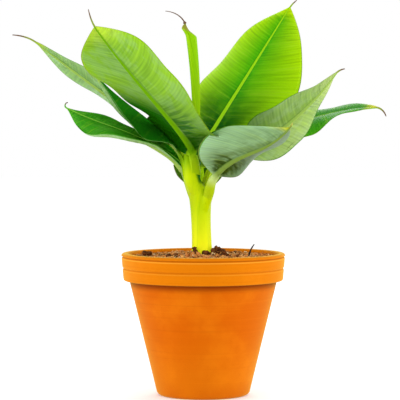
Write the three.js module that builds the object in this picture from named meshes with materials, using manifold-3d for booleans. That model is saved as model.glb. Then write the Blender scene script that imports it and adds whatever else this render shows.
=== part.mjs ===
// A young banana plant in a terracotta pot. Millimetres and degrees, +Z up, the origin under the
// middle of the pot, -Y towards the front.
//
// The pot is turned, the soil fills it to just under its rim, and the pseudostem stands on a flat
// cut in a socket of the soil. Every leaf follows one rule: a stalk climbs out of the stem and bends
// over into a midrib, the blade spreads to both sides of it, and a thread ends it. Neighbours are
// cut a clearance apart where the stalks crowd round the stem.

import * as THREE from 'three';
import Module from 'manifold-3d';
import { mergeVertices } from 'three/addons/utils/BufferGeometryUtils.js';

const wasm = await Module();
wasm.setup();

// --- Driving dimensions ------------------------------------------------------------------------

const CLEARANCE = 0.3;

const POT = {
  height: 130,
  rimRadius: 75,
  collarHeight: 25,
  collarFootRadius: 73,
  collarChamfer: 1,
  shoulderRadius: 67.5,
  baseRadius: 43,
  footRounding: 5,
  rimRounding: 2.5,
  mouthRadius: 67.5,
  floorRadius: 37,
  floorThickness: 9,
  drainRadius: 10,
  sides: 48,
  curveSteps: 3,
};

const SOIL = {
  level: 126,
  mound: 5,
  moundReach: [8, 26],
  clump: 2.2,
  // Two crossing waves make the clumps: radians per millimetre along X and Y, then the phase.
  waves: [[0.31, 0.27, 1.3], [0.83, -0.71, 0]],
  socketFloor: 122,
  ringRadii: [15, 22, 30, 39, 48, 57, 63],
  sides: 40,
};

const STEM = {
  footX: -1,
  drift: -0.03,
  leanFrom: 188,
  lean: -0.3,
  sides: 20,
  // Radius against height, from the flat cut at the ground through the waist to the fork.
  outline: [[9.9, 122.3], [9.3, 136], [8.7, 155], [9.5, 175], [11.4, 187], [9.4, 200], [7, 214]],
  steps: 20,
};

// A blade is a thin plate with a rib along its under side. The rib bulges between its own shoulders
// and never takes more than its largest share of a narrow section.
const BLADE = {
  thickness: 2,
  baseHalfWidth: 3,
  ribHalfWidth: 2.4,
  ribDepth: [3.6, 2],
  ribShoulder: 0.6,
  ribLargestShare: 0.8,
  stations: 15,
};
const STALK = { edge: 2.2, footDepth: 6.5, stations: 5 };
const THREAD = { halfWidth: 0.8, edge: 1.3, depth: 1.8, stations: 5 };

// The least curvature of a blade's section, which keeps a flat section's arc defined.
const LEAST_CUP = 1e-6;
// The longest step, in millimetres, that the midrib is followed by.
const MIDRIB_STEP = 1;

// Each leaf: where its foot stands on the stem (reach and height), the way it heads and swings, how
// steeply it rises at [foot, blade base, blade tip], its lengths, and the blade's own shape. A blade
// rolls about its midrib, folds up along it and cups between midrib and margin, all in degrees.
// Shares run from the blade's base to its tip. Leaves are listed from the outermost sheath inwards.
const LEAVES = [
  {
    name: 'leaf_front_right', colour: 0x8cb978, reach: 11, footHeight: 190, stalkHalfWidth: 5,
    heading: -53, swing: 3, rise: [88, 22, 21], stalk: 17, blade: 117, halfWidth: 39,
    roll: [-33, 2], fold: [25, 15], cup: 0, widest: 0.57, power: [0.36, 0.77], lean: -0.5,
    wave: -7, waves: 1.3, phase: -0.72, thread: { length: 4, rise: 20, turn: 0 },
  },
  {
    name: 'leaf_low_left', colour: 0x147800, reach: 9, footHeight: 188, stalkHalfWidth: 5,
    heading: 161, swing: -7, rise: [74, 20.5, 22.5], stalk: 54, blade: 100, halfWidth: 33,
    roll: [4, -23], fold: [21, 7], cup: -36, widest: 0.48, power: [0.54, 1], lean: -0.07,
    wave: -1.6, waves: 2.4, phase: -0.02, thread: { length: 11, rise: 150, turn: 0 },
  },
  {
    name: 'leaf_back', colour: 0x194600, reach: 9, footHeight: 188, stalkHalfWidth: 4.5,
    heading: 95, swing: 0, rise: [62, 28, -50], stalk: 28, blade: 101, halfWidth: 25,
    roll: [0, 0], fold: [12, 5], cup: -40, widest: 0.42, power: [0.5, 0.8], lean: 0.2,
    wave: 1, waves: 2.5, phase: 0.1, thread: { length: 8, rise: 20, turn: 0 },
  },
  {
    name: 'leaf_mid_right', colour: 0x8cb978, reach: 7, footHeight: 190, stalkHalfWidth: 4,
    heading: -13, swing: 25, rise: [60, 28, 53], stalk: 43, blade: 117, halfWidth: 40,
    roll: [-39, -22], fold: [13, 15], cup: -26, widest: 0.37, power: [0.77, 0.71], lean: 0,
    wave: -1.2, waves: 2.6, phase: -0.13, thread: { length: 9, rise: -45, turn: 0 },
  },
  {
    name: 'leaf_far_right', colour: 0x1e8c0a, reach: 6, footHeight: 195, stalkHalfWidth: 4,
    heading: 34, swing: -40, rise: [67, 22, 4], stalk: 55, blade: 142, halfWidth: 36,
    roll: [25, 6], fold: [-14, 31], cup: -42, widest: 0.44, power: [0.5, 0.6], lean: -0.34,
    wave: 4.7, waves: 2.7, phase: -0.17, thread: { length: 13, rise: -75, turn: 0 },
  },
  {
    name: 'leaf_folded_left', colour: 0x005a00, reach: 5, footHeight: 203, stalkHalfWidth: 4.5,
    heading: 182, swing: 6, rise: [79, 42.5, 42.5], stalk: 32, blade: 93, halfWidth: 33,
    roll: [-5, 4], fold: [-22, 1], cup: -33, widest: 0.41, power: [1.02, 0.85], lean: -0.14,
    wave: 1, waves: 2.5, phase: 0.07, thread: { length: 8, rise: 0, turn: 0 },
  },
  {
    name: 'leaf_tall_left', colour: 0x82c832, reach: 4, footHeight: 204, stalkHalfWidth: 6,
    heading: 242, swing: -43, rise: [90, 34, 54.5], stalk: 31, blade: 152, halfWidth: 56,
    roll: [-21, 20], fold: [20, 6], cup: -20, widest: 0.65, power: [0.25, 0.79], lean: 0.27,
    wave: 1.6, waves: 2.8, phase: -0.1, thread: { length: 17, rise: -12, turn: -10 },
  },
  {
    name: 'leaf_far_left', colour: 0x8cc35a, reach: 3, footHeight: 210, stalkHalfWidth: 4,
    heading: 147, swing: 35, rise: [60, 32, 37.5], stalk: 30, blade: 163, halfWidth: 34,
    roll: [21, 22], fold: [13, 14], cup: -29, widest: 0.5, power: [0.85, 0.96], lean: -0.09,
    wave: 2.3, waves: 2.1, phase: -0.07, thread: { length: 22, rise: -35, turn: 0 },
  },
  {
    name: 'leaf_tall_right', colour: 0x64b400, reach: 3, footHeight: 210, stalkHalfWidth: 4.5,
    heading: 49, swing: -9.5, rise: [60, 46, 51], stalk: 27, blade: 169, halfWidth: 51,
    roll: [14, 21], fold: [6, 12], cup: -42, widest: 0.4, power: [0.5, 0.88], lean: 0.24,
    wave: -6.4, waves: 1.6, phase: -0.62, thread: { length: 11, rise: -20, turn: 0 },
  },
];

// The youngest leaf is still rolled up: a slim roll that widens upwards to a short pointed top.
const SPEAR = {
  name: 'spear_leaf', colour: 0x96d200, footHeight: 212, radius: [4, 6], flatness: 0.75,
  heading: 180, swing: 0, rise: [102, 90, 81], stalk: 40, blade: 82, roll: [0, 0],
  topLength: 8, thread: { length: 28, rise: -75, turn: 0 }, sides: 12, stations: 12,
};

// --- Shared helpers ----------------------------------------------------------------------------

const { degToRad, lerp, smoothstep } = THREE.MathUtils;

/** The stem's axis at a height: it drifts and then leans to the left above the fork. */
function stemAxis(z) {
  const drift = STEM.drift * (z - POT.height);
  return new THREE.Vector3(STEM.footX + drift + STEM.lean * Math.max(0, z - STEM.leanFrom), 0, z);
}

/** A closed geometry through equal rings of points, with a fan over each end. */
function loft(rings) {
  const count = rings[0].length;
  const points = rings.flat();
  const index = [];
  for (let i = 0; i + 1 < rings.length; i += 1) {
    for (let j = 0; j < count; j += 1) {
      const a = i * count + j;
      const b = i * count + ((j + 1) % count);
      index.push(a, b, b + count, a, b + count, a + count);
    }
  }
  [rings[0], rings[rings.length - 1]].forEach((ring, end) => {
    const middle = ring.reduce((sum, p) => sum.add(p), new THREE.Vector3()).divideScalar(count);
    const centre = points.push(middle) - 1;
    const first = end * (rings.length - 1) * count;
    for (let j = 0; j < count; j += 1) {
      const a = first + j;
      const b = first + ((j + 1) % count);
      index.push(centre, ...(end ? [a, b] : [b, a]));
    }
  });
  const geometry = new THREE.BufferGeometry().setFromPoints(points);
  geometry.setIndex(signedVolume(points, index) < 0 ? index.reverse() : index);
  return geometry;
}

/** Six times the volume inside the triangles, negative if they face inwards. */
function signedVolume(points, index) {
  let sum = 0;
  const normal = new THREE.Vector3();
  for (let i = 0; i < index.length; i += 3) {
    const [a, b, c] = [points[index[i]], points[index[i + 1]], points[index[i + 2]]];
    sum += a.dot(normal.crossVectors(b, c));
  }
  return sum;
}

/** A closed geometry as a solid that can be joined and cut. */
function solidOf(geometry) {
  return new wasm.Manifold(new wasm.Mesh({
    numProp: 3,
    vertProperties: new Float32Array(geometry.attributes.position.array),
    triVerts: new Uint32Array(geometry.index.array),
  }));
}

/** The largest body of a solid, as a geometry. */
function geometryOf(solid) {
  const bodies = solid.decompose().sort((a, b) => b.volume() - a.volume());
  const { vertProperties, triVerts } = bodies[0].getMesh();
  const geometry = new THREE.BufferGeometry();
  geometry.setAttribute('position', new THREE.BufferAttribute(vertProperties, 3));
  geometry.setIndex(new THREE.BufferAttribute(triVerts, 1));
  return geometry;
}

/** A named sub-part with its own material. */
function mesh(name, geometry, colour, roughness) {
  const material = new THREE.MeshStandardMaterial({ color: colour, roughness, metalness: 0 });
  const made = new THREE.Mesh(geometry, material);
  made.name = name;
  return made;
}

// --- Pot, soil and stem ------------------------------------------------------------------------

/** The pot's inner radius at a height. */
function potInside(z) {
  const share = (z - POT.floorThickness) / (POT.height - POT.floorThickness);
  return lerp(POT.floorRadius, POT.mouthRadius, share);
}

/** The turned pot: a tapering body with a rounded foot, a drain hole and a collar. */
function pot() {
  const collarFoot = POT.height - POT.collarHeight;
  const { rimRounding: rim, footRounding: foot, collarChamfer: chamfer } = POT;
  const footRadius = lerp(POT.baseRadius, POT.shoulderRadius, foot / collarFoot);
  const outline = new THREE.Path();
  outline.moveTo(POT.drainRadius, 0);
  outline.lineTo(POT.baseRadius - foot, 0);
  outline.quadraticCurveTo(POT.baseRadius, 0, footRadius, foot);
  outline.lineTo(POT.shoulderRadius, collarFoot);
  outline.lineTo(POT.collarFootRadius - chamfer, collarFoot);
  outline.lineTo(POT.collarFootRadius, collarFoot + chamfer);
  outline.lineTo(POT.rimRadius, POT.height - rim);
  outline.quadraticCurveTo(POT.rimRadius, POT.height, POT.rimRadius - rim, POT.height);
  outline.lineTo(potInside(POT.height) + rim, POT.height);
  outline.lineTo(potInside(POT.height - rim), POT.height - rim);
  outline.lineTo(POT.floorRadius, POT.floorThickness);
  outline.lineTo(POT.drainRadius, POT.floorThickness);
  outline.lineTo(POT.drainRadius, 0);
  const turned = new THREE.LatheGeometry(outline.getPoints(POT.curveSteps), POT.sides);
  turned.rotateX(Math.PI / 2);
  turned.deleteAttribute('normal');
  turned.deleteAttribute('uv');
  return geometryOf(solidOf(mergeVertices(turned)));
}

/** A level circle of points round an axis point. */
function circle(centre, radius, sides) {
  return Array.from({ length: sides }, (_, k) => {
    const angle = (2 * Math.PI * k) / sides;
    return new THREE.Vector3(radius * Math.cos(angle), radius * Math.sin(angle), 0).add(centre);
  });
}

/** The height of the clumpy soil surface at a point. */
function soilHeight(x, y) {
  const mound = SOIL.mound * (1 - smoothstep(Math.hypot(x, y), ...SOIL.moundReach));
  const lumps = SOIL.waves.map(([alongX, alongY, phase]) => Math.sin(alongX * x + alongY * y + phase));
  return SOIL.level + mound + (SOIL.clump * (lumps[0] + lumps[1])) / 2;
}

/** The soil: it fills the pot, with a flat-bottomed socket round the foot of the stem. */
function soil() {
  const axis = stemAxis(SOIL.socketFloor);
  const socket = STEM.outline[0][0] + CLEARANCE;
  const rings = [circle(axis, socket, SOIL.sides)];
  const clear = (z) => potInside(z) - 2 * CLEARANCE;
  [socket, ...SOIL.ringRadii].forEach((radius, k) => {
    const share = 1 - k / SOIL.ringRadii.length;
    const centre = new THREE.Vector3(axis.x * share, 0, 0);
    const ring = circle(centre, radius, SOIL.sides);
    rings.push(ring.map((p) => p.setZ(soilHeight(p.x, p.y))));
  });
  const shoulder = SOIL.level - 2 * SOIL.clump;
  const floor = POT.floorThickness + CLEARANCE;
  rings.push(circle(new THREE.Vector3(0, 0, shoulder), clear(shoulder), SOIL.sides));
  rings.push(circle(new THREE.Vector3(0, 0, floor), clear(floor), SOIL.sides));
  return loft(rings);
}

/** The pseudostem, from its flat cut to the top of the fork, grown all round by an amount. */
function stem(grown = 0) {
  const outline = new THREE.SplineCurve(STEM.outline.map(([r, z]) => new THREE.Vector2(r, z)));
  const rings = outline.getPoints(STEM.steps).map((p, k) => {
    const end = k === 0 ? -grown : (k === STEM.steps ? grown : 0);
    return circle(stemAxis(p.y).setZ(p.y + end), p.x + grown, STEM.sides);
  });
  return loft(rings);
}

// --- Leaves ------------------------------------------------------------------------------------

/** How steeply a leaf rises and where it heads, a distance along stalk, blade and thread. */
function course(form, distance) {
  const onStalk = smoothstep(distance, 0, form.stalk);
  const onBlade = THREE.MathUtils.clamp((distance - form.stalk) / form.blade, 0, 1);
  const onThread = Math.max(0, (distance - form.stalk - form.blade) / form.thread.length);
  const [foot, base, tip] = form.rise;
  const rise = degToRad(
    lerp(foot, base, onStalk) + (tip - base) * onBlade + form.thread.rise * onThread,
  );
  const heading = degToRad(form.heading + form.swing * onBlade + form.thread.turn * onThread);
  const level = new THREE.Vector3(Math.cos(heading), Math.sin(heading), 0);
  const along = level.multiplyScalar(Math.cos(rise)).setZ(Math.sin(rise));
  return { along, heading, onStalk, onBlade };
}

/** Points and directions along a leaf's midrib at the given distances, stepped off from its foot. */
function midrib(form, foot, distances) {
  const point = foot.clone();
  let done = 0;
  return distances.map((distance) => {
    while (done < distance) {
      const step = Math.min(MIDRIB_STEP, distance - done);
      point.addScaledVector(course(form, done + step / 2).along, step);
      done += step;
    }
    const at = course(form, distance);
    const level = new THREE.Vector3(-Math.sin(at.heading), Math.cos(at.heading), 0);
    const roll = lerp(form.roll[0] * at.onStalk, form.roll[1], at.onBlade);
    const side = level.applyAxisAngle(at.along, degToRad(roll));
    const up = new THREE.Vector3().crossVectors(at.along, side);
    return { point: point.clone(), along: at.along, side, up, share: at.onBlade };
  });
}

/** Half the blade's width at a share of its length, as a share of its greatest half-width. */
function bladeOutline(form, share) {
  if (share < form.widest) {
    return Math.sin((Math.PI / 2) * (share / form.widest)) ** form.power[0];
  }
  const rest = (share - form.widest) / (1 - form.widest);
  return Math.max(0, Math.cos((Math.PI / 2) * rest)) ** form.power[1];
}

/** A point of the blade and its normal, a share of the way (-1 to 1) from the midrib outwards. */
function bladePoint(form, frame, halfWidth, across) {
  const out = Math.abs(across);
  const hand = Math.sign(across);
  const swell = Math.max(0, Math.sin(Math.PI * frame.share));
  const fold = degToRad(lerp(form.fold[0], form.fold[1], frame.share));
  const cup = degToRad(form.cup) || LEAST_CUP;
  const reach = (Math.sin(fold + cup * out) - Math.sin(fold)) / cup;
  const lift = (Math.cos(fold) - Math.cos(fold + cup * out)) / cup;
  const ripple = Math.sin(2 * Math.PI * (form.waves * frame.share + form.phase * hand));
  const height = halfWidth * lift + form.wave * out * out * ripple * swell;
  const tilt = hand * (fold + cup * out);
  return {
    point: frame.point.clone()
      .addScaledVector(frame.side, hand * halfWidth * reach)
      .addScaledVector(frame.up, height)
      .addScaledVector(frame.along, form.lean * halfWidth * out * out * Math.sqrt(swell)),
    normal: frame.up.clone().multiplyScalar(Math.cos(tilt))
      .addScaledVector(frame.side, -Math.sin(tilt)),
  };
}

/** The width, edge thickness and rib of a leaf's section at each distance along it. */
function sections(form) {
  const list = [];
  for (let k = 0; k < STALK.stations; k += 1) {
    const share = k / STALK.stations;
    list.push({
      distance: form.stalk * share,
      halfWidth: lerp(form.stalkHalfWidth, BLADE.baseHalfWidth, share),
      edge: STALK.edge,
      depth: lerp(STALK.footDepth, BLADE.ribDepth[0], share),
    });
  }
  for (let k = 0; k <= BLADE.stations; k += 1) {
    const share = (1 - Math.cos((Math.PI * k) / BLADE.stations)) / 2;
    const least = lerp(BLADE.baseHalfWidth, THREAD.halfWidth, share);
    list.push({
      distance: form.stalk + form.blade * share,
      halfWidth: Math.max(least, form.halfWidth * bladeOutline(form, share)),
      edge: BLADE.thickness,
      depth: lerp(...BLADE.ribDepth, share),
    });
  }
  for (let k = 1; k <= THREAD.stations; k += 1) {
    list.push({
      distance: form.stalk + form.blade + (form.thread.length * k) / THREAD.stations,
      halfWidth: THREAD.halfWidth,
      edge: THREAD.edge,
      depth: THREAD.depth,
    });
  }
  return list;
}

/** The closed ring round a leaf's section: its upper side, then its under side with the rib. */
function leafRing(form, frame, section, grown) {
  const share = Math.min(BLADE.ribLargestShare, BLADE.ribHalfWidth / section.halfWidth);
  const half = (1 + share) / 2;
  const shoulder = BLADE.ribShoulder * share;
  const upper = [-1, -half, -share, 0, share, half, 1];
  const under = [1, half, share, shoulder, 0, -shoulder, -share, -half, -1];
  const place = (across, above) => {
    const { point, normal } = bladePoint(form, frame, section.halfWidth, across);
    const margin = Math.abs(across) === 1 ? Math.sign(across) * grown : 0;
    return point.addScaledVector(normal, above).addScaledVector(frame.side, margin);
  };
  const thickness = (across) => {
    const bulge = Math.sqrt(Math.max(0, 1 - (across / share) ** 2));
    return lerp(section.edge, section.depth, bulge);
  };
  return [
    ...upper.map((across) => place(across, section.edge / 2 + grown)),
    ...under.map((across) => place(across, section.edge / 2 - thickness(across) - grown)),
  ];
}

/** One leaf from its foot on the stem to the end of its thread, grown all round by an amount. */
function leaf(form, grown = 0) {
  const list = sections(form);
  const heading = degToRad(form.heading);
  const reach = new THREE.Vector3(Math.cos(heading), Math.sin(heading), 0);
  const foot = stemAxis(form.footHeight).addScaledVector(reach, form.reach);
  const frames = midrib(form, foot, list.map((section) => section.distance));
  return loft(frames.map((frame, k) => leafRing(form, frame, list[k], grown)));
}

/** The rolled leaf, grown all round by an amount. */
function spear(form, grown = 0) {
  const length = form.stalk + form.blade;
  const list = Array.from({ length: form.stations + 1 }, (_, k) => {
    const share = k / form.stations;
    const top = Math.min(1, (length * (1 - share)) / form.topLength);
    const radius = lerp(form.radius[0], form.radius[1], share) * Math.sqrt(top);
    return { distance: length * share, radius: Math.max(THREAD.halfWidth, radius) };
  });
  for (let k = 1; k <= THREAD.stations; k += 1) {
    const distance = length + (form.thread.length * k) / THREAD.stations;
    list.push({ distance, radius: THREAD.halfWidth });
  }
  const frames = midrib(form, stemAxis(form.footHeight), list.map((at) => at.distance));
  return loft(frames.map((frame, k) => Array.from({ length: form.sides }, (_, j) => {
    const angle = (2 * Math.PI * j) / form.sides;
    const radius = list[k].radius + grown;
    return frame.point.clone()
      .addScaledVector(frame.up, radius * Math.cos(angle))
      .addScaledVector(frame.side, radius * form.flatness * Math.sin(angle));
  })));
}

// --- The plant ---------------------------------------------------------------------------------

const plant = new THREE.Group();
plant.add(mesh('pot', pot(), 0xe0812a, 0.85));
plant.add(mesh('soil', soil(), 0x5a4632, 0.95));
plant.add(mesh('pseudostem', stem(), 0xc8dc14, 0.45));

let taken = solidOf(stem(CLEARANCE));
for (const form of LEAVES) {
  const free = solidOf(leaf(form)).subtract(taken);
  plant.add(mesh(form.name, geometryOf(free), form.colour, 0.4));
  taken = taken.add(solidOf(leaf(form, CLEARANCE)));
}
const rolled = solidOf(spear(SPEAR)).subtract(taken);
plant.add(mesh(SPEAR.name, geometryOf(rolled), SPEAR.colour, 0.4));

export default plant;
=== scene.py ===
"""A young banana plant in a terracotta pot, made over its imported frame.

The pot is turned, the soil is a clumpy surface with crumbs, chips and fibres strewn on it, and the
pseudostem is a bundle of leaf sheaths. Geometry Nodes grow every leaf from one rule: a stalk climbs
out of the stem and bends over into a midrib, the blade spreads to both sides of it, and a thread
ends it. Sizes are in millimetres and degrees until MM and RAD turn them into metres and radians.
"""

import logging
import math
from dataclasses import dataclass
from enum import Enum
from typing import Any, Mapping, Sequence

import bpy
import numpy as np
from bpy.types import Material, Mesh, Object
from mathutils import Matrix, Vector


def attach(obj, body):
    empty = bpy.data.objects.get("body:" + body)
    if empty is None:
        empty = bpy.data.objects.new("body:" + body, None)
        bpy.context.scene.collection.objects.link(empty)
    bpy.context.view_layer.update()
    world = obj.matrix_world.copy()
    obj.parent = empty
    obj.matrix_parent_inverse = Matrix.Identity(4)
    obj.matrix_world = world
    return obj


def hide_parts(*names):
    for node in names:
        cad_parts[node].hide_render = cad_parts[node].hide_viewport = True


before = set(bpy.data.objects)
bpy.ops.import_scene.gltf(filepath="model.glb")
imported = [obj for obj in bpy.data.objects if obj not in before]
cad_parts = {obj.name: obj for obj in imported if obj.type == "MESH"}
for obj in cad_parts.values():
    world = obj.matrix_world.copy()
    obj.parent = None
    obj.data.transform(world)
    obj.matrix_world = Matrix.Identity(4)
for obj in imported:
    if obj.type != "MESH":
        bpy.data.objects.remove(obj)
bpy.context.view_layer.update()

MM = 0.001
RAD = math.pi / 180
FULL_TURN = 2 * math.pi
BODY = "root"
log = logging.getLogger("banana_plant")

Colour = tuple[float, float, float, float]
Place = tuple[float, float, float]
Pair = tuple[float, float]
Face = tuple[int, ...]


def srgb(red: float, green: float, blue: float) -> Colour:
    """A colour given as 0 to 255 on screen, as the linear values that shaders take.

    Args:
        red: The red share.
        green: The green share.
        blue: The blue share.

    Returns:
        Linear red, green, blue and an alpha of one.
    """
    shares = (channel / 255 for channel in (red, green, blue))
    linear = [c / 12.92 if c <= 0.04045 else ((c + 0.055) / 1.055) ** 2.4 for c in shares]
    return (*linear, 1.0)


# --- Node trees --------------------------------------------------------------------------------


class Wire:
    """An output of a node, on which sums can be written."""

    def __init__(self, tree: "Tree", socket: bpy.types.NodeSocket) -> None:
        """Keeps the tree and the output socket."""
        self.tree = tree
        self.socket = socket

    def __add__(self, other: Any) -> "Wire":
        """This value plus another."""
        return self.tree.math("ADD", self, other)

    def __sub__(self, other: Any) -> "Wire":
        """This value minus another."""
        return self.tree.math("SUBTRACT", self, other)

    def __rsub__(self, other: Any) -> "Wire":
        """Another value minus this."""
        return self.tree.math("SUBTRACT", other, self)

    def __mul__(self, other: Any) -> "Wire":
        """This value times another."""
        return self.tree.math("MULTIPLY", self, other)

    def __truediv__(self, other: Any) -> "Wire":
        """This value over another."""
        return self.tree.math("DIVIDE", self, other)

    def __pow__(self, other: Any) -> "Wire":
        """This value to a power."""
        return self.tree.math("POWER", self, other)

    def __abs__(self) -> "Wire":
        """This value without its sign."""
        return self.tree.math("ABSOLUTE", self)

    __radd__ = __add__
    __rmul__ = __mul__


class Tree:
    """A node tree that is written as sums of wires."""

    def __init__(self, nodes: bpy.types.NodeTree) -> None:
        """Keeps the tree to write into."""
        self.tree = nodes

    def feed(self, socket: bpy.types.NodeSocket, value: Any) -> None:
        """Links a wire to an input, or sets the input's own value.

        Args:
            socket: The input.
            value: A wire, or what the input itself should say.
        """
        if isinstance(value, Wire):
            self.tree.links.new(value.socket, socket)
        else:
            socket.default_value = value

    def node(self, kind: str, inputs: Mapping[str, Any] | None = None, **settings: Any) -> Any:
        """Adds a node.

        Args:
            kind: The node's type name.
            inputs: Wires or values by the name of the input that takes them.
            **settings: Properties of the node, set before its inputs.

        Returns:
            The node.
        """
        made = self.tree.nodes.new(kind)
        for name, value in settings.items():
            setattr(made, name, value)
        for name, value in (inputs or {}).items():
            self.feed(next(s for s in made.inputs if s.name == name and s.enabled), value)
        return made

    def output(self, node: Any, name: str | None = None) -> Wire:
        """The named output of a node, or its first one that is in use."""
        return Wire(self, next(s for s in node.outputs if s.enabled and name in (None, s.name)))

    def wire(self, kind: str, inputs: Mapping[str, Any] | None = None, **settings: Any) -> Wire:
        """Adds a node as node() does, and returns its first output that is in use."""
        return self.output(self.node(kind, inputs, **settings))

    def math(self, operation: str, *values: Any) -> Wire:
        """A sum on numbers.

        Args:
            operation: The sum's name.
            *values: Wires or numbers, in the order of its inputs.

        Returns:
            The result.
        """
        made = self.node("ShaderNodeMath", operation=operation)
        for socket, value in zip(made.inputs, values):
            self.feed(socket, value)
        return self.output(made)

    def sine(self, turn: Wire) -> Wire:
        """The sine of an angle in radians."""
        return self.math("SINE", turn)

    def cosine(self, turn: Wire) -> Wire:
        """The cosine of an angle in radians."""
        return self.math("COSINE", turn)

    def least(self, a: Any, b: Any) -> Wire:
        """The smaller of two numbers."""
        return self.math("MINIMUM", a, b)

    def most(self, a: Any, b: Any) -> Wire:
        """The larger of two numbers."""
        return self.math("MAXIMUM", a, b)

    def share(self, value: Any, low: Any = 0.0, high: Any = 1.0, smooth: bool = True) -> Wire:
        """How far a value is from low to high, kept between 0 and 1, eased unless smooth is off.

        Args:
            value: The value.
            low: Where the share is 0.
            high: Where it is 1.
            smooth: Whether it eases in and out.

        Returns:
            The share.
        """
        kind = "SMOOTHSTEP" if smooth else "LINEAR"
        limits = {"Value": value, "From Min": low, "From Max": high}
        return self.wire("ShaderNodeMapRange", limits, interpolation_type=kind)

    def between(self, a: Any, b: Any, factor: Any) -> Wire:
        """The number that lies a share of the way from a to b."""
        return self.math("MULTIPLY_ADD", factor, self.math("SUBTRACT", b, a), a)

    def noise(self, place: Wire, scale: float, detail: float = 2.0, rough: float = 0.5) -> Wire:
        """Cloudy noise from 0 to 1 at a place."""
        inputs = {"Vector": place, "Scale": scale, "Detail": detail, "Roughness": rough}
        return self.wire("ShaderNodeTexNoise", inputs)

    def join(self, x: Any, y: Any, z: Any) -> Wire:
        """A vector of three numbers."""
        return self.wire("ShaderNodeCombineXYZ", {"X": x, "Y": y, "Z": z})

    def vector(self, operation: str, *values: Any) -> Wire:
        """A sum on vectors.

        Args:
            operation: The sum's name.
            *values: Wires or vectors, in the order of its inputs.

        Returns:
            The result.
        """
        made = self.node("ShaderNodeVectorMath", operation=operation)
        for socket, value in zip(made.inputs, values):
            self.feed(socket, value)
        return self.output(made)

    def scale(self, vector: Wire, factor: Any) -> Wire:
        """A vector times a number."""
        inputs = {"Vector": vector, "Scale": factor}
        return self.wire("ShaderNodeVectorMath", inputs, operation="SCALE")

    def add(self, *vectors: Wire) -> Wire:
        """The sum of several vectors.

        Args:
            *vectors: The vectors.

        Returns:
            Their sum.
        """
        total = vectors[0]
        for other in vectors[1:]:
            total = self.vector("ADD", total, other)
        return total


class Shading(Tree):
    """The nodes of a material round one Principled shader."""

    def __init__(self, name: str) -> None:
        """Makes the material and clears its nodes.

        Args:
            name: The material's name.
        """
        self.material = bpy.data.materials.new(name)
        self.material.use_nodes = True
        self.material.node_tree.nodes.clear()
        super().__init__(self.material.node_tree)

    def read(self, name: str) -> Wire:
        """A number that the mesh carries under a name."""
        return self.output(self.node("ShaderNodeAttribute", attribute_name=name), "Fac")

    def place(self) -> Wire:
        """The place on the object, in metres."""
        return self.output(self.node("ShaderNodeTexCoord"), "Object")

    def split(self, vector: Wire) -> tuple[Wire, Wire, Wire]:
        """The three numbers of a vector."""
        made = self.node("ShaderNodeSeparateXYZ", {"Vector": vector})
        return tuple(self.output(made, axis) for axis in "XYZ")

    def coats(self, colour: Any, *coats: tuple[Any, Any]) -> Wire:
        """A colour with others laid over it in turn, each by its own factor.

        Args:
            colour: The lowest colour.
            *coats: Pairs of a colour and the factor that it is laid on by.

        Returns:
            The mixed colour.
        """
        for coat, factor in coats:
            inputs = {"Factor": factor, "A": colour, "B": coat}
            colour = self.wire("ShaderNodeMix", inputs, data_type="RGBA", clamp_factor=True)
        return colour

    def bump(self, height: Wire, strength: float, depth: float) -> Wire:
        """A normal bent by a height from 0 to 1 over a depth in metres."""
        inputs = {"Height": height, "Strength": strength, "Distance": depth}
        return self.wire("ShaderNodeBump", inputs)

    def finish(self, light: float = 0.0, behind: Any = None, **inputs: Any) -> Material:
        """Ends the tree.

        Args:
            light: The share of light that comes through from behind.
            behind: The colour of that light.
            **inputs: Principled inputs by name, with _ for a space.

        Returns:
            The finished material.
        """
        named = {name.replace("_", " "): value for name, value in inputs.items()}
        shader = self.wire("ShaderNodeBsdfPrincipled", named)
        if light > 0:
            glow = self.wire("ShaderNodeBsdfTranslucent", {"Color": behind})
            mixed = self.node("ShaderNodeMixShader", {"Fac": light})
            self.feed(mixed.inputs[1], shader)
            self.feed(mixed.inputs[2], glow)
            shader = self.output(mixed)
        self.node("ShaderNodeOutputMaterial", {"Surface": shader})
        return self.material


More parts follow.
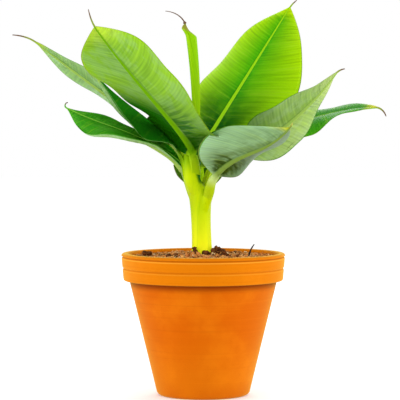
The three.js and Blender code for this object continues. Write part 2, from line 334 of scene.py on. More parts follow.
class Recipe(Tree):
    """A Geometry Nodes tree with named inputs, ended by Realize Instances and Set Material."""

    def __init__(self, name: str) -> None:
        """Starts the tree with a geometry and a material input.

        Args:
            name: The tree's name.
        """
        super().__init__(bpy.data.node_groups.new(name, "GeometryNodeTree"))
        self.identifiers: dict[str, str] = {}
        self.start = self.tree.nodes.new("NodeGroupInput")
        self.geometry = self.input("Geometry", "NodeSocketGeometry")
        self.surface = self.input("Material", "NodeSocketMaterial")

    def input(self, name: str, kind: str = "NodeSocketFloat") -> Wire:
        """Adds a named input and returns it.

        Args:
            name: What it is called.
            kind: Its socket type.

        Returns:
            The input as a wire.
        """
        made = self.tree.interface.new_socket(name=name, in_out="INPUT", socket_type=kind)
        self.identifiers[name] = made.identifier
        return Wire(self, self.start.outputs[made.identifier])

    def numbers(self, names: str, prefix: str = "") -> list[Wire]:
        """Adds several number inputs, whose names are parted by commas."""
        return [self.input(prefix + name) for name in names.split(", ")]

    def read(self, name: str, kind: str = "FLOAT") -> Wire:
        """A value that the mesh carries under a name."""
        return self.wire("GeometryNodeInputNamedAttribute", {"Name": name}, data_type=kind)

    def end(self, geometry: Wire, kept: Mapping[str, Wire] | None = None) -> None:
        """Keeps numbers on the points under their names, then shades and hands out the geometry.

        Args:
            geometry: What the tree has made.
            kept: The numbers to keep, by name.
        """
        for name, value in (kept or {}).items():
            inputs = {"Geometry": geometry, "Name": name, "Value": value}
            geometry = self.wire("GeometryNodeStoreNamedAttribute", inputs, data_type="FLOAT")
        geometry = self.wire("GeometryNodeRealizeInstances", {"Geometry": geometry})
        geometry = self.wire("GeometryNodeSetShadeSmooth", {"Geometry": geometry})
        inputs = {"Geometry": geometry, "Material": self.surface}
        dressed = self.wire("GeometryNodeSetMaterial", inputs)
        self.tree.interface.new_socket(
            name="Geometry", in_out="OUTPUT", socket_type="NodeSocketGeometry"
        )
        self.feed(self.tree.nodes.new("NodeGroupOutput").inputs[0], dressed)

    def grow(self, name: str, base: Mesh, material: Material, sizes: Mapping[str, Any]) -> Object:
        """Runs the tree on a mesh and keeps the result as a plain mesh.

        Args:
            name: The name of the piece.
            base: The mesh that the tree starts from.
            material: The material that it sets.
            sizes: Values by the name of their input.

        Returns:
            The piece, with no modifier left on it.
        """
        piece = stand(name, base)
        modifier = piece.modifiers.new(self.tree.name, "NODES")
        modifier.node_group = self.tree
        for label, value in {"Material": material, **sizes}.items():
            modifier[self.identifiers[label]] = value
        return settle(piece)


# --- Meshes and pieces -------------------------------------------------------------------------


def stand(name: str, data: Any) -> Object:
    """Puts a new object in the scene and returns it.

    Args:
        name: The object's name.
        data: Its mesh, camera or light.

    Returns:
        The object.
    """
    made = bpy.data.objects.new(name, data)
    bpy.context.scene.collection.objects.link(made)
    return made


def settle(piece: Object) -> Object:
    """Turns what a piece's modifiers make of it into its mesh, and drops them.

    Args:
        piece: The piece.

    Returns:
        The same piece, with a plain mesh of its own name.
    """
    evaluated = piece.evaluated_get(bpy.context.evaluated_depsgraph_get())
    result = bpy.data.meshes.new_from_object(evaluated)
    piece.modifiers.clear()
    piece.data = result
    result.name = piece.name
    return piece


def mesh_of(name: str, points: Any, faces: Sequence[Face]) -> Mesh:
    """A smooth mesh of points in millimetres, with each face's corners against the clock.

    Args:
        name: The mesh's name.
        points: The points in millimetres, one a row.
        faces: The corners of each face, seen from outside against the clock.

    Returns:
        The mesh, in metres.
    """
    made = bpy.data.meshes.new(name)
    made.from_pydata([tuple(point) for point in np.asarray(points) * MM], [], faces)
    made.polygons.foreach_set("use_smooth", [True] * len(made.polygons))
    made.update()
    return made


def round_grid(radii: np.ndarray, sides: int) -> tuple[np.ndarray, np.ndarray]:
    """X and Y of rings of points about the origin, one ring a row.

    Args:
        radii: The radius of each ring.
        sides: How many points a ring has.

    Returns:
        X and Y, one ring a row.
    """
    angles = np.linspace(0, FULL_TURN, sides, endpoint=False)
    radius, angle = np.meshgrid(radii, angles, indexing="ij")
    return radius * np.cos(angle), radius * np.sin(angle)


def lattice(rows: int, columns: int, bands: int) -> list[Face]:
    """Quads over the first bands of a lattice whose rows and columns close on themselves.

    Args:
        rows: How many rows of points there are.
        columns: How many points a row has.
        bands: How many rows of quads to make.

    Returns:
        The quads' corners.
    """
    def corner(row: int, column: int) -> int:
        """The point at a row and a column."""
        return row % rows * columns + column % columns

    return [
        tuple(corner(row + up, column + on) for up, on in ((0, 0), (1, 0), (1, 1), (0, 1)))
        for row in range(bands) for column in range(columns)
    ]


def tube_faces(rings: int, sides: int) -> list[Face]:
    """Faces of a closed tube whose point 0 and last point are its poles, with rings in between.

    Args:
        rings: How many rings there are.
        sides: How many points a ring has.

    Returns:
        The faces' corners.
    """
    faces: list[Face] = []
    last = 1 + (rings - 1) * sides
    for side in range(sides):
        after = (side + 1) % sides
        faces += [(0, 1 + after, 1 + side), (1 + rings * sides, last + side, last + after)]
        for low in range(1, last, sides):
            faces.append((low + side, low + after, low + sides + after, low + sides + side))
    return faces


class Slot(Enum):
    """The record's material slots."""

    POT = "terracotta"
    SOIL = "potting_soil"
    STEM = "pseudostem"
    SUNLIT_UNDER = "leaf_sunlit_underside"
    SUNLIT_UPPER = "leaf_sunlit_upper_side"
    UNDER = "leaf_underside"
    UPPER = "leaf_upper_side"
    ROLLED = "rolled_leaf"


def dress(piece: Object, node: str = "", material: Material | None = None) -> Object:
    """Hands a finished piece to the frame.

    Args:
        piece: The piece, in place.
        node: The CAD node that it stands for, if any.
        material: The material to give it, unless it has one.

    Returns:
        The piece.
    """
    if material:
        piece.data.materials.append(material)
    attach(piece, BODY)
    if node:
        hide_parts(node)
    log.info("%s: %d faces", piece.name, len(piece.data.polygons))
    return piece


# --- Finishes ----------------------------------------------------------------------------------


@dataclass(frozen=True)
class Side:
    """The colours of one side of a leaf blade."""

    near: Colour
    # edge: lighter towards the margin, painted backlight glow over the blade's own green
    edge: Colour
    # base: darker towards the stalk, partly the blade's own tone and partly painted shade
    base: Colour
    tip: Colour
    rib: Colour
    # bloom: pale mottled patches, partly waxy bloom and partly painted sheen
    bloom: Colour
    bloom_share: float


@dataclass(frozen=True)
class LeafFinish:
    """A leaf's two sides, its stalk, its thin margin and its dried thread."""

    name: str
    upper: Side
    under: Side
    stalk: Colour = srgb(176, 214, 28)
    sheath: Colour = srgb(190, 218, 10)
    margin: Colour = srgb(150, 150, 70)
    thread: Colour = srgb(120, 88, 70)
    # lobe: painted shade on the near half's base lobe, which bends away from the light
    lobe: Colour = srgb(14, 108, 4)
    lobe_shade_share: float = 0.0
    # How far from the stalk the darker base colour reaches, partly painted shade.
    base_reach: float = 0.42
    tip_from: float = 0.9
    veins: float = 1.0
    # Painted shade in the creases near the blade's base, laid on in the shade colour.
    crease_shade: float = 0.0
    shade: Colour = srgb(20, 90, 0)
    shaded: Pair = (0.0, 0.0)
    base_shaded: Pair = (0.0, 0.0)
    shade_reach: float = 0.42
    gloss: float = 0.04
    light: float = 0.22

    def side(self, tree: Shading, colours: Side) -> Wire:
        """The colour of one side, before its margin and thread.

        Args:
            tree: The material's tree.
            colours: The side's colours.

        Returns:
            The colour.
        """
        lateral, share = tree.read("across"), tree.read("share")
        across, offset = abs(lateral), abs(tree.read("offset"))
        base = tree.share(share, self.base_reach, self.base_reach * 0.15)
        place = tree.join(tree.read("reach") * 0.03, offset * 0.05, lateral)
        cloud = tree.share(tree.noise(place, 1.3, 3.0, 0.6), 0.42, 0.62)
        rib = tree.share(tree.read("rib"), 1.1, 0.8) * tree.share(offset, 5.5, 4.0)
        coats = [
            # Painted backlight: the blade turns lighter towards its margin.
            (colours.edge, tree.share(across, 0.04, 0.95, smooth=False)),
            # Darker towards the stalk: partly the blade's own tone, partly painted shade.
            (colours.base, base * tree.share(across, 1.1, 0.3)),
            # Pale mottling: partly waxy bloom, partly painted sheen.
            (colours.bloom, cloud * colours.bloom_share),
            (colours.tip, tree.share(share, self.tip_from, 1.0)),
            (colours.rib, rib),
        ]
        # Painted shade on the near half's base lobe.
        if self.lobe_shade_share > 0:
            near = tree.share(lateral, -0.1, -0.3) * tree.share(tree.read("lobe"), 0.2, 0.7)
            coats.insert(3, (self.lobe, near * self.lobe_shade_share))
        return tree.coats(colours.near, *coats)

    def make(self) -> Material:
        """The material.

        Returns:
            The finished material.
        """
        tree = Shading(self.name)
        reach, share, rib = tree.read("reach"), tree.read("share"), tree.read("rib")
        across, offset = tree.read("across"), abs(tree.read("offset"))
        under = tree.share(tree.read("under"), 0.4, 0.6)
        vein = reach - offset * 0.28
        streaks = tree.noise(tree.join(vein * 0.36, across * 0.9, under), 1.0, 3.0, 0.6)
        fine = tree.sine(vein * 1.9) * 0.5 + 0.5
        wide = tree.share(offset, 4.0, 5.5)
        blade = tree.most(tree.share(rib, 0.9, 1.5), wide)
        coats = [
            (self.side(tree, self.under), under),
            (srgb(0, 60, 0), tree.share(streaks, 0.52, 0.3) * blade * (0.24 * self.veins)),
            (srgb(205, 245, 60), tree.share(streaks, 0.5, 0.72) * blade * (0.18 * self.veins)),
            (srgb(0, 70, 0), fine * blade * 0.1),
        ]
        low = tree.share(share, self.shade_reach, 0.12)
        for hand, whole, foot in zip((-1.0, 1.0), self.shaded, self.base_shaded):
            if whole + foot > 0:
                half = tree.share(across * hand, -0.03, 0.1) * blade
                coats.append((self.shade, half * (low * foot + whole)))
        # Painted shade in the creases: dark strokes near the base, across the blade.
        if self.crease_shade > 0:
            ridges = tree.noise(tree.join(vein * 0.24, across * 1.6, 3.0), 1.0, 1.0, 0.4)
            where = tree.share(share, 0.52, 0.2) * blade * tree.share(abs(across), 0.85, 0.35)
            coats.append((self.shade, tree.share(ridges, 0.54, 0.42) * where * self.crease_shade))
        # Painted shadow in a band just beside the rib.
        rib_shadow = tree.share(rib, 0.8, 1.1) * tree.share(rib, 1.9, 1.15)
        rim = tree.share(tree.read("margin"), 0.8, 0.25) * tree.share(reach, 2.0, 8.0) * 0.7
        coats += [(srgb(10, 70, 0), rib_shadow * 0.3), (self.margin, rim)]
        blade_colour = tree.coats(self.side(tree, self.upper), *coats)
        opened = tree.most(tree.share(reach, -4.0, 7.0), tree.share(reach, -1.0, 0.5) * wide)
        colour = tree.coats(
            self.sheath,
            (self.stalk, tree.share(tree.read("climb"), 3.0, 17.0)),
            (blade_colour, opened),
            (self.thread, tree.share(tree.read("dried"), 0.25, 0.7)),
        )
        return tree.finish(
            light=self.light,
            behind=tree.coats(colour, (srgb(190, 255, 20), 0.35)),
            Base_Color=colour,
            Roughness=0.42,
            Specular_IOR_Level=self.gloss,
            Normal=tree.bump(fine * 0.25 + streaks * 0.75, 0.35, 0.0005),
        )


@dataclass(frozen=True)
class RolledFinish:
    """The rolled leaf: pale green ribs, a dark overlap, a brown lip and a dry thread."""

    low: Colour = srgb(178, 222, 12)
    high: Colour = srgb(152, 212, 0)
    ribs: Colour = srgb(206, 238, 30)
    seam: Colour = srgb(20, 92, 4)
    lip: Colour = srgb(150, 130, 60)
    thread: Colour = srgb(120, 88, 70)

    def make(self) -> Material:
        """The material.

        Returns:
            The finished material.
        """
        tree = Shading("rolled_leaf_surface")
        share, wound = tree.read("share"), tree.read("wound")
        strand = tree.noise(tree.join(wound * 22.0, share * 1.5, 0.0), 1.0, 2.0, 0.5)
        lap = tree.share(wound, 0.82, 1.0) + tree.share(wound, 0.04, 0.0)
        colour = tree.coats(
            self.low,
            (self.high, tree.share(share, 0.1, 0.8)),
            (self.ribs, tree.share(strand, 0.5, 0.7) * 0.55),
            (self.seam, tree.share(strand, 0.42, 0.28) * 0.35),
            (self.seam, lap * 0.75),
            (self.lip, tree.share(tree.read("left"), 5.0, 1.5) * 0.8),
            (self.thread, tree.share(tree.read("dried"), 0.0, 0.04)),
        )
        return tree.finish(
            light=0.15,
            behind=colour,
            Base_Color=colour,
            Roughness=0.42,
            Specular_IOR_Level=0.05,
            Normal=tree.bump(strand, 0.4, 0.0004),
        )


@dataclass(frozen=True)
class TerracottaFinish:
    """Unglazed orange clay with faint turning lines, pale bloom and a darker foot."""

    clay: Colour = srgb(202, 92, 0)
    foot: Colour = srgb(208, 108, 4)
    collar: Colour = srgb(212, 116, 2)
    light: Colour = srgb(230, 130, 14)
    dark: Colour = srgb(180, 74, 0)
    # hollow: painted shade, under the collar and in the grooves
    hollow: Colour = srgb(110, 34, 0)
    # lit_edge: a painted highlight below each groove
    lit_edge: Colour = srgb(250, 190, 70)

    def make(self, grooves: Sequence[float]) -> Material:
        """The material, for a pot with grooves at some heights.

        Args:
            grooves: The grooves' heights in millimetres, the deeper shade first.

        Returns:
            The finished material.
        """
        tree = Shading("terracotta")
        place = tree.place()
        x, y, z = tree.split(place)
        cloud = tree.noise(place, 22.0, 4.0, 0.6)
        lines = tree.noise(tree.join(x * 4.0, y * 4.0, z * 420.0), 1.0, 3.0, 0.6)
        grit = tree.noise(place, 900.0, 2.0, 0.6)
        stained = tree.share(z, 0.02, 0.0) * tree.share(cloud, 0.35, 0.6)
        # Painted shadow under the collar.
        collar_shadow = tree.share(z, 0.0965, 0.1048) * tree.share(z, 0.1056, 0.1051)
        coats = [
            (self.clay, tree.share(z, 0.0, 0.07)),
            (self.collar, tree.share(z, 0.1045, 0.1055)),
            (self.light, tree.share(cloud, 0.42, 0.75) * 0.4),
            (self.dark, tree.share(lines, 0.55, 0.8) * 0.35),
            (self.light, tree.share(lines, 0.45, 0.2) * 0.3),
            (self.dark, tree.share(grit, 0.62, 0.75) * 0.35),
            (self.dark, stained * 0.4),
            (self.hollow, collar_shadow * 0.82),
        ]
        # Painted shade in each groove, and a painted highlight just below it.
        for height, strength in zip(grooves, (1.0, 0.45)):
            away, lit = abs(z - height * MM), abs(z - (height - 1.5) * MM)
            hollow = tree.share(away, 0.9 * MM, 0.2 * MM) * (0.45 * strength)
            edge = tree.share(lit, 0.8 * MM, 0.1 * MM) * (0.35 * strength)
            coats += [(self.hollow, hollow), (self.lit_edge, edge)]
        return tree.finish(
            Base_Color=tree.coats(self.foot, *coats),
            Roughness=0.8,
            Specular_IOR_Level=0.03,
            Sheen_Weight=0.5,
            Sheen_Roughness=0.4,
            Sheen_Tint=srgb(236, 230, 104),
            Normal=tree.bump(lines * 0.6 + grit * 0.4, 0.35, 0.0004),
        )


@dataclass(frozen=True)
class EarthFinish:
    """A matt, mottled finish for soil, crumbs, chips and fibres."""

    name: str
    dark: Colour
    pale: Colour
    grain: float = 260.0
    depth: float = 0.0008

    def make(self) -> Material:
        """The material.

        Returns:
            The finished material.
        """
        tree = Shading(self.name)
        place = tree.place()
        cloud = tree.noise(place, self.grain, 5.0, 0.7)
        patch = tree.noise(place, self.grain / 6, 2.0, 0.5)
        mix = tree.share(cloud, 0.32, 0.6) * tree.share(patch, 0.2, 0.55)
        return tree.finish(
            Base_Color=tree.coats(self.dark, (self.pale, mix)),
            Roughness=0.92,
            Specular_IOR_Level=0.08,
            Normal=tree.bump(cloud, 0.7, self.depth),
        )


@dataclass(frozen=True)
class SheathFinish:
    """Smooth leaf sheaths, yellow at the soil and greener towards the fork."""

    foot: Colour = srgb(255, 255, 30)
    middle: Colour = srgb(186, 210, 0)
    top: Colour = srgb(195, 220, 0)
    fork: Colour = srgb(146, 190, 2)
    # Painted shadow inside the fork.
    fork_shadow: Colour = srgb(24, 104, 2)
    shade: Colour = srgb(120, 176, 4)
    # Painted shade on the stem's left and right flanks, below the fork.
    flank_shade: Colour = srgb(168, 180, 10)
    speck: Colour = srgb(130, 120, 4)
    middle_height: float = 0.17
    fork_height: float = 0.2

    def make(self) -> Material:
        """The material.

        Returns:
            The finished material.
        """
        tree = Shading("sheaths")
        place = tree.place()
        x, y, z = tree.split(place)
        # Painted shadow inside the fork.
        fork_shadow = tree.share(x + (z - 0.197) * 0.25, -0.0065, -0.0035) * tree.share(z, 0.19, 0.197)
        strands = tree.noise(tree.join(x * 420.0, y * 420.0, z * 16.0), 1.0, 3.0, 0.6)
        # Painted shade on the stem's flanks.
        flank_shade_mask = tree.share(abs(x + 0.0018), 0.004, 0.0092)
        dots = tree.noise(place, 420.0, 1.0, 0.4)
        colour = tree.coats(
            self.foot,
            (self.middle, tree.share(z, 0.128, self.middle_height, smooth=False)),
            (self.top, tree.share(z, self.middle_height, self.fork_height)),
            (self.fork, tree.share(z, self.fork_height, 0.216)),
            (self.fork_shadow, fork_shadow),
            (self.shade, tree.share(strands, 0.5, 0.75) * 0.4),
            (self.flank_shade, flank_shade_mask * tree.share(z, self.fork_height, 0.185) * 0.4),
            (self.shade, tree.share(tree.read("overlap"), 0.0, 1.0) * 0.2),
            (self.speck, tree.share(dots, 0.76, 0.8) * 0.6),
        )
        return tree.finish(
            light=0.06,
            behind=colour,
            Base_Color=colour,
            Roughness=0.4,
            Specular_IOR_Level=0.04,
            # Painted glow: the lower stem gives off some of its own colour as light.
            Emission_Color=tree.coats(srgb(0, 0, 0), (colour, tree.share(z, 0.188, 0.165))),
            Emission_Strength=0.2,
            Normal=tree.bump(strands, 0.25, 0.0004),
        )


# --- Pot ---------------------------------------------------------------------------------------


def arc(centre: Pair, radius: float, start: float, end: float, steps: int) -> list[Pair]:
    """Points on a circle's arc, in degrees against the clock."""
    turns = np.radians(np.linspace(start, end, steps))
    return [(centre[0] + radius * math.cos(t), centre[1] + radius * math.sin(t)) for t in turns]


@dataclass
class Pot:
    """The turned pot: a tapering body, a collar with two grooves, and a drain hole."""

    height: float = 130.0
    rim_radius: float = 75.0
    collar_foot: float = 105.0
    collar_foot_radius: float = 73.0
    collar_rounding: float = 1.4
    shoulder_radius: float = 67.5
    base_radius: float = 43.0
    foot_rounding: float = 5.0
    rim_rounding: float = 2.4
    mouth_radius: float = 67.5
    floor_radius: float = 37.0
    floor_thickness: float = 9.0
    drain_radius: float = 10.0
    drain_edge: float = 0.8
    groove_heights: Pair = (126.9, 116.3)
    groove_depth: float = 0.9
    groove_half_width: float = 1.3
    sides: int = 192
    wall_rings: int = 40
    collar_rings: int = 72
    inner_rings: int = 26

    def inside(self, height: float) -> float:
        """The inner radius at a height."""
        share = (height - self.floor_thickness) / (self.height - self.floor_thickness)
        return self.floor_radius + (self.mouth_radius - self.floor_radius) * share

    def collar_radius(self, height: float) -> float:
        """The collar's outer radius at a height, with its grooves cut in.

        Args:
            height: The height.

        Returns:
            The radius.
        """
        share = (height - self.collar_foot) / (self.height - self.collar_foot)
        radius = self.collar_foot_radius + (self.rim_radius - self.collar_foot_radius) * share
        for groove in self.groove_heights:
            away = (height - groove) / self.groove_half_width
            radius -= self.groove_depth * math.exp(-away * away * 2)
        return radius

    def profile(self) -> list[Pair]:
        """The closed outline, radius against height, from the drain hole round the outside.

        Returns:
            The outline's points, against the clock.
        """
        foot, rim = self.foot_rounding, self.rim_rounding
        top, collar = self.height, self.collar_foot
        drain = (self.drain_radius, self.drain_radius + self.drain_edge)
        line = [(radius, 0.0) for radius in (*drain, *np.linspace(14, self.base_radius - foot, 4))]
        line += arc((self.base_radius - foot, foot), foot, -90, -12, 7)
        (low_radius, low), high = line[-1], collar - 0.4
        for share in np.linspace(0.02, 1, self.wall_rings):
            radius = low_radius + (self.shoulder_radius - low_radius) * share
            line.append((radius, low + (high - low) * share))
        under = self.collar_foot_radius - self.collar_rounding
        line += [(self.shoulder_radius + 0.35, collar + 0.1), (under - 2.0, collar + 0.15)]
        line += arc((under, collar + 1.5), self.collar_rounding, -90, 0, 5)
        for height in np.linspace(collar + 2.2, top - rim - 0.3, self.collar_rings):
            line.append((self.collar_radius(height), height))
        line += arc((self.collar_radius(top) - rim, top - rim), rim, 8, 90, 8)
        mouth = self.inside(top)
        line += [(mouth + 3.2, top), *arc((mouth + rim, top - rim), rim, 98, 172, 6)]
        for height in np.linspace(top - 5, 14, self.inner_rings):
            line.append((self.inside(height), height))
        line.append((self.floor_radius - 1, self.floor_thickness + 0.6))
        return line + [(radius, self.floor_thickness) for radius in reversed(drain)]

    def build(self) -> Object:
        """Turns the outline about the pot's axis.

        Returns:
            The pot.
        """
        radii, heights = np.array(self.profile()).T
        angles = np.linspace(0, FULL_TURN, self.sides, endpoint=False)
        wobble = 1 + 0.0012 * np.sin(2 * angles + 0.4) + 0.0006 * np.sin(5 * angles)
        x = radii * (np.cos(angles) * wobble)[:, None]
        y = radii * (np.sin(angles) * wobble)[:, None]
        points = np.stack([x, y, np.broadcast_to(heights, x.shape)], -1).reshape(-1, 3)
        mesh = mesh_of("terracotta_pot", points, lattice(self.sides, len(radii), self.sides))
        material = TerracottaFinish().make(self.groove_heights)
        return dress(stand("terracotta_pot", mesh), "pot", material)


# --- Stem --------------------------------------------------------------------------------------


def places(mesh: Mesh) -> np.ndarray:
    """A mesh's points in millimetres, one a row.

    Args:
        mesh: The mesh.

    Returns:
        The points.
    """
    flat = np.empty(len(mesh.vertices) * 3)
    mesh.vertices.foreach_get("co", flat)
    return flat.reshape(-1, 3) / MM


@dataclass
class Stem:
    """The pseudostem: leaf sheaths wrapped round each other, from the soil to the fork."""

    pot_height: float = 130.0
    foot_x: float = -1.0
    drift: float = -0.03
    lean_from: float = 188.0
    lean: float = -0.3
    fork: tuple[Pair, ...] = ((183, -2.6), (190, -6.4), (197, -9.9), (211, -12.4), (221, -15.2))
    outline: tuple[Pair, ...] = (
        (9.9, 122.3), (9.4, 130), (8.9, 142), (8.7, 155), (9.3, 172), (10.3, 183), (9.0, 190),
        (7.3, 197), (5.9, 211), (4.2, 218), (2.4, 221),
    )
    # Each outer sheath's edge: its bearing in degrees, how fast it climbs, and where it shows.
    edges: tuple[tuple[float, float, float, float], ...] = (
        (-118, 1.15, 128, 200), (20, -0.9, 128, 196), (150, 1.3, 126, 190),
    )
    edge_height: float = 0.35
    edge_width: float = 1.6
    edge_reach: float = 55.0
    edge_slant: float = 0.12
    climb_from: float = 168.0
    sides: int = 96
    rings: int = 100
    sleeve_reach: float = 11.0
    sleeve_swell: Pair = (1.1, -0.6)
    voxel: float = 0.5
    smoothing: int = 14

    def centre(self, height: Any) -> Any:
        """X of the stem's axis at a height or at several."""
        x = self.foot_x + self.drift * (height - self.pot_height)
        return x + self.lean * np.maximum(0.0, height - self.lean_from)

    def radius(self, height: np.ndarray) -> np.ndarray:
        """The radius at each height.

        Args:
            height: The heights.

        Returns:
            The radii.
        """
        radii, heights = np.array(self.outline).T
        nearby = [np.interp(height + shift, heights, radii) for shift in (-5, -2.5, 0, 2.5, 5)]
        return np.mean(nearby, axis=0)

    def overlap(self, angle: np.ndarray, height: np.ndarray) -> np.ndarray:
        """How far the outer sheaths stand out: each ends in an edge that climbs round the stem.

        Args:
            angle: The points' bearings in degrees.
            height: Their heights.

        Returns:
            A share for each point, about 1 just beside an edge.
        """
        total = np.zeros(height.shape)
        for start, climb, low, high in self.edges:
            edge = start + climb * np.maximum(0, height - self.climb_from)
            edge = edge + self.edge_slant * (height - self.pot_height)
            away = (angle - edge + 180) % 360 - 180
            step = 1 / (1 + np.exp(-away / self.edge_width))
            step = step * np.exp(-np.maximum(0, away) / self.edge_reach)
            fade = np.clip((height - low) / 25, 0, 1) * np.clip((high - height) / 12, 0, 1)
            total += step * fade
        return total

    def tube(self) -> np.ndarray:
        """The bare stem's points: a pole, rings from the soil to the fork, and a pole.

        Returns:
            The points, one a row.
        """
        heights = np.linspace(self.outline[0][1], self.outline[-1][1], self.rings)
        angle, height = np.meshgrid(np.linspace(0, FULL_TURN, self.sides, endpoint=False), heights)
        radius = self.radius(height) * (1 + 0.012 * np.sin(3 * angle + height * 0.03))
        levels, leans = np.array(self.fork).T
        forked = np.interp(heights, levels, leans)
        centre = np.where(heights < levels[0], self.centre(heights), forked)
        x, y = centre[:, None] + radius * np.cos(angle), radius * np.sin(angle)
        low, high = ((centre[end], 0.0, heights[end]) for end in (0, -1))
        return np.vstack([low, np.stack([x, y, height], -1).reshape(-1, 3), high])

    def sleeve(self, leaf: Object, course: "Course") -> np.ndarray:
        """The part of the stem that a leaf's stalk rises from, a little wider than the stalk.

        Args:
            leaf: The grown leaf, whose rings follow one another.
            course: The leaf's course.

        Returns:
            A pole, the rings from the root's end to just above the fork, and a pole.
        """
        stations, sides = GrowthRule.STATIONS, GrowthRule.SIDES
        rings = places(leaf.data)[1:-1].reshape(stations, sides, 3)
        step = course.length / (stations - 1)
        rings = rings[1:int((course.root + self.sleeve_reach) / step) + 1]
        share = np.linspace(0, 1, len(rings))[:, None, None]
        middle = rings.mean(axis=1, keepdims=True)
        out = rings - middle
        swell = self.sleeve_swell[0] + (self.sleeve_swell[1] - self.sleeve_swell[0]) * share
        rings = rings + out / np.linalg.norm(out, axis=2, keepdims=True) * swell
        return np.vstack([middle[0], rings.reshape(-1, 3), middle[-1]])

    def build(self, sleeves: Sequence[np.ndarray]) -> Object:
        """Melts the tube and the leaves' sleeves into one skin, then raises the sheaths' edges.

        Args:
            sleeves: What sleeve() gives for each leaf.

        Returns:
            The stem.
        """
        shells = [(self.tube(), self.sides), *((sleeve, GrowthRule.SIDES) for sleeve in sleeves)]
        faces, start = [], 0
        for shell, around in shells:
            rings = (len(shell) - 2) // around
            faces += [tuple(start + at for at in face) for face in tube_faces(rings, around)]
            start += len(shell)
        points = np.vstack([shell for shell, _ in shells])
        piece = stand("stem_sheaths", mesh_of("stem_shells", points, faces))
        melt = piece.modifiers.new("melt", "REMESH")
        melt.mode, melt.voxel_size, melt.use_smooth_shade = "VOXEL", self.voxel * MM, True
        ease = piece.modifiers.new("ease", "SMOOTH")
        ease.factor, ease.iterations = 0.5, self.smoothing
        self.raise_edges(settle(piece).data)
        return dress(piece, "pseudostem", SheathFinish().make())

    def raise_edges(self, mesh: Mesh) -> None:
        """Raises the outer sheaths a little, and keeps how far as an attribute.

        Args:
            mesh: The melted skin.
        """
        place = places(mesh)
        normal = np.empty(place.size)
        mesh.vertex_normals.foreach_get("vector", normal)
        height = place[:, 2]
        x, y = place[:, 0] - self.centre(height), place[:, 1]
        relief = self.overlap(np.degrees(np.arctan2(y, x)), height)
        relief *= np.clip((self.radius(height) + 2.5 - np.hypot(x, y)) / 1.5, 0, 1)
        place += normal.reshape(-1, 3) * (self.edge_height * relief)[:, None]
        mesh.vertices.foreach_set("co", (place * MM).ravel())
        kept = mesh.attributes.new("overlap", "FLOAT", "POINT")
        kept.data.foreach_set("value", np.clip(relief, 0, 1))
        mesh.update()


# --- Soil --------------------------------------------------------------------------------------


class StrewRule(Recipe):
    """Geometry Nodes that strew turned copies of one shape over a surface."""

    # A copy turns about the upright by up to a little over a full turn, in radians.
    LARGEST_TURN = 6.3

    def __init__(self, name: str, sizes: str) -> None:
        """Starts the tree with a density, a rise, a seed and the named sizes.

        Args:
            name: The tree's name.
            sizes: The names of its own inputs, parted by commas.
        """
        super().__init__(name)
        self.density, self.rise = self.numbers("Density, Rise")
        self.seed = self.input("Seed", "NodeSocketInt")
        self.sizes = self.numbers(sizes)

    def random(self, low: Any, high: Any, kind: str = "FLOAT") -> Wire:
        """A random value from low to high for each copy."""
        limits = {"Min": low, "Max": high, "Seed": self.seed}
        return self.wire("FunctionNodeRandomValue", limits, data_type=kind)

    def strew(self, shape: Wire, tilt: Pair, scale: Wire) -> Wire:
        """Copies of a shape, each leaning about X and Y by at most its tilt in radians.

        Args:
            shape: The shape.
            tilt: The most that a copy leans about X and about Y.
            scale: Each copy's size.

        Returns:
            The copies, realized.
        """
        inputs = {"Mesh": self.geometry, "Density": self.density, "Seed": self.seed}
        points = self.wire("GeometryNodeDistributePointsOnFaces", inputs)
        turn = self.random((-tilt[0], -tilt[1], 0.0), (*tilt, self.LARGEST_TURN), "FLOAT_VECTOR")
        placed = self.wire("GeometryNodeInstanceOnPoints", {
            "Points": points, "Instance": shape, "Scale": scale,
            "Rotation": self.wire("FunctionNodeEulerToRotation", {"Euler": turn}),
        })
        return self.wire("GeometryNodeRealizeInstances", {"Geometry": placed})

    def lift(self, copies: Wire, shift: Any = (0.0, 0.0, 0.0)) -> "StrewRule":
        """Moves the copies by a shift and by the rise, and ends the tree.

        Args:
            copies: The copies.
            shift: What to move each point by.

        Returns:
            The finished rule.
        """
        offset = self.vector("ADD", shift, self.join(0.0, 0.0, self.rise))
        self.end(self.wire("GeometryNodeSetPosition", {"Geometry": copies, "Offset": offset}))
        return self


def lump_rule() -> StrewRule:
    """The rule of crumbs, chips and clods, which are uneven lumps.

    Returns:
        The rule.
    """
    rule = StrewRule("strewn_lumps", "Smallest, Largest, Flatness, Stretch")
    low, high, flat, stretch = rule.sizes
    lump = rule.wire("GeometryNodeMeshIcoSphere", {"Radius": 1.0, "Subdivisions": 2})
    share = rule.random(0.0, 1.0)
    size = rule.between(low, high, share * share)
    lumps = rule.strew(lump, (0.5, 0.5), rule.join(size * stretch, size, size * flat))
    inputs = {"Vector": rule.wire("GeometryNodeInputPosition"), "Scale": 420.0, "Detail": 2.0}
    bumps = rule.output(rule.node("ShaderNodeTexNoise", inputs), "Color")
    shift = rule.scale(rule.vector("SUBTRACT", bumps, (0.5, 0.5, 0.5)), high * 1.6)
    return rule.lift(lumps, shift)


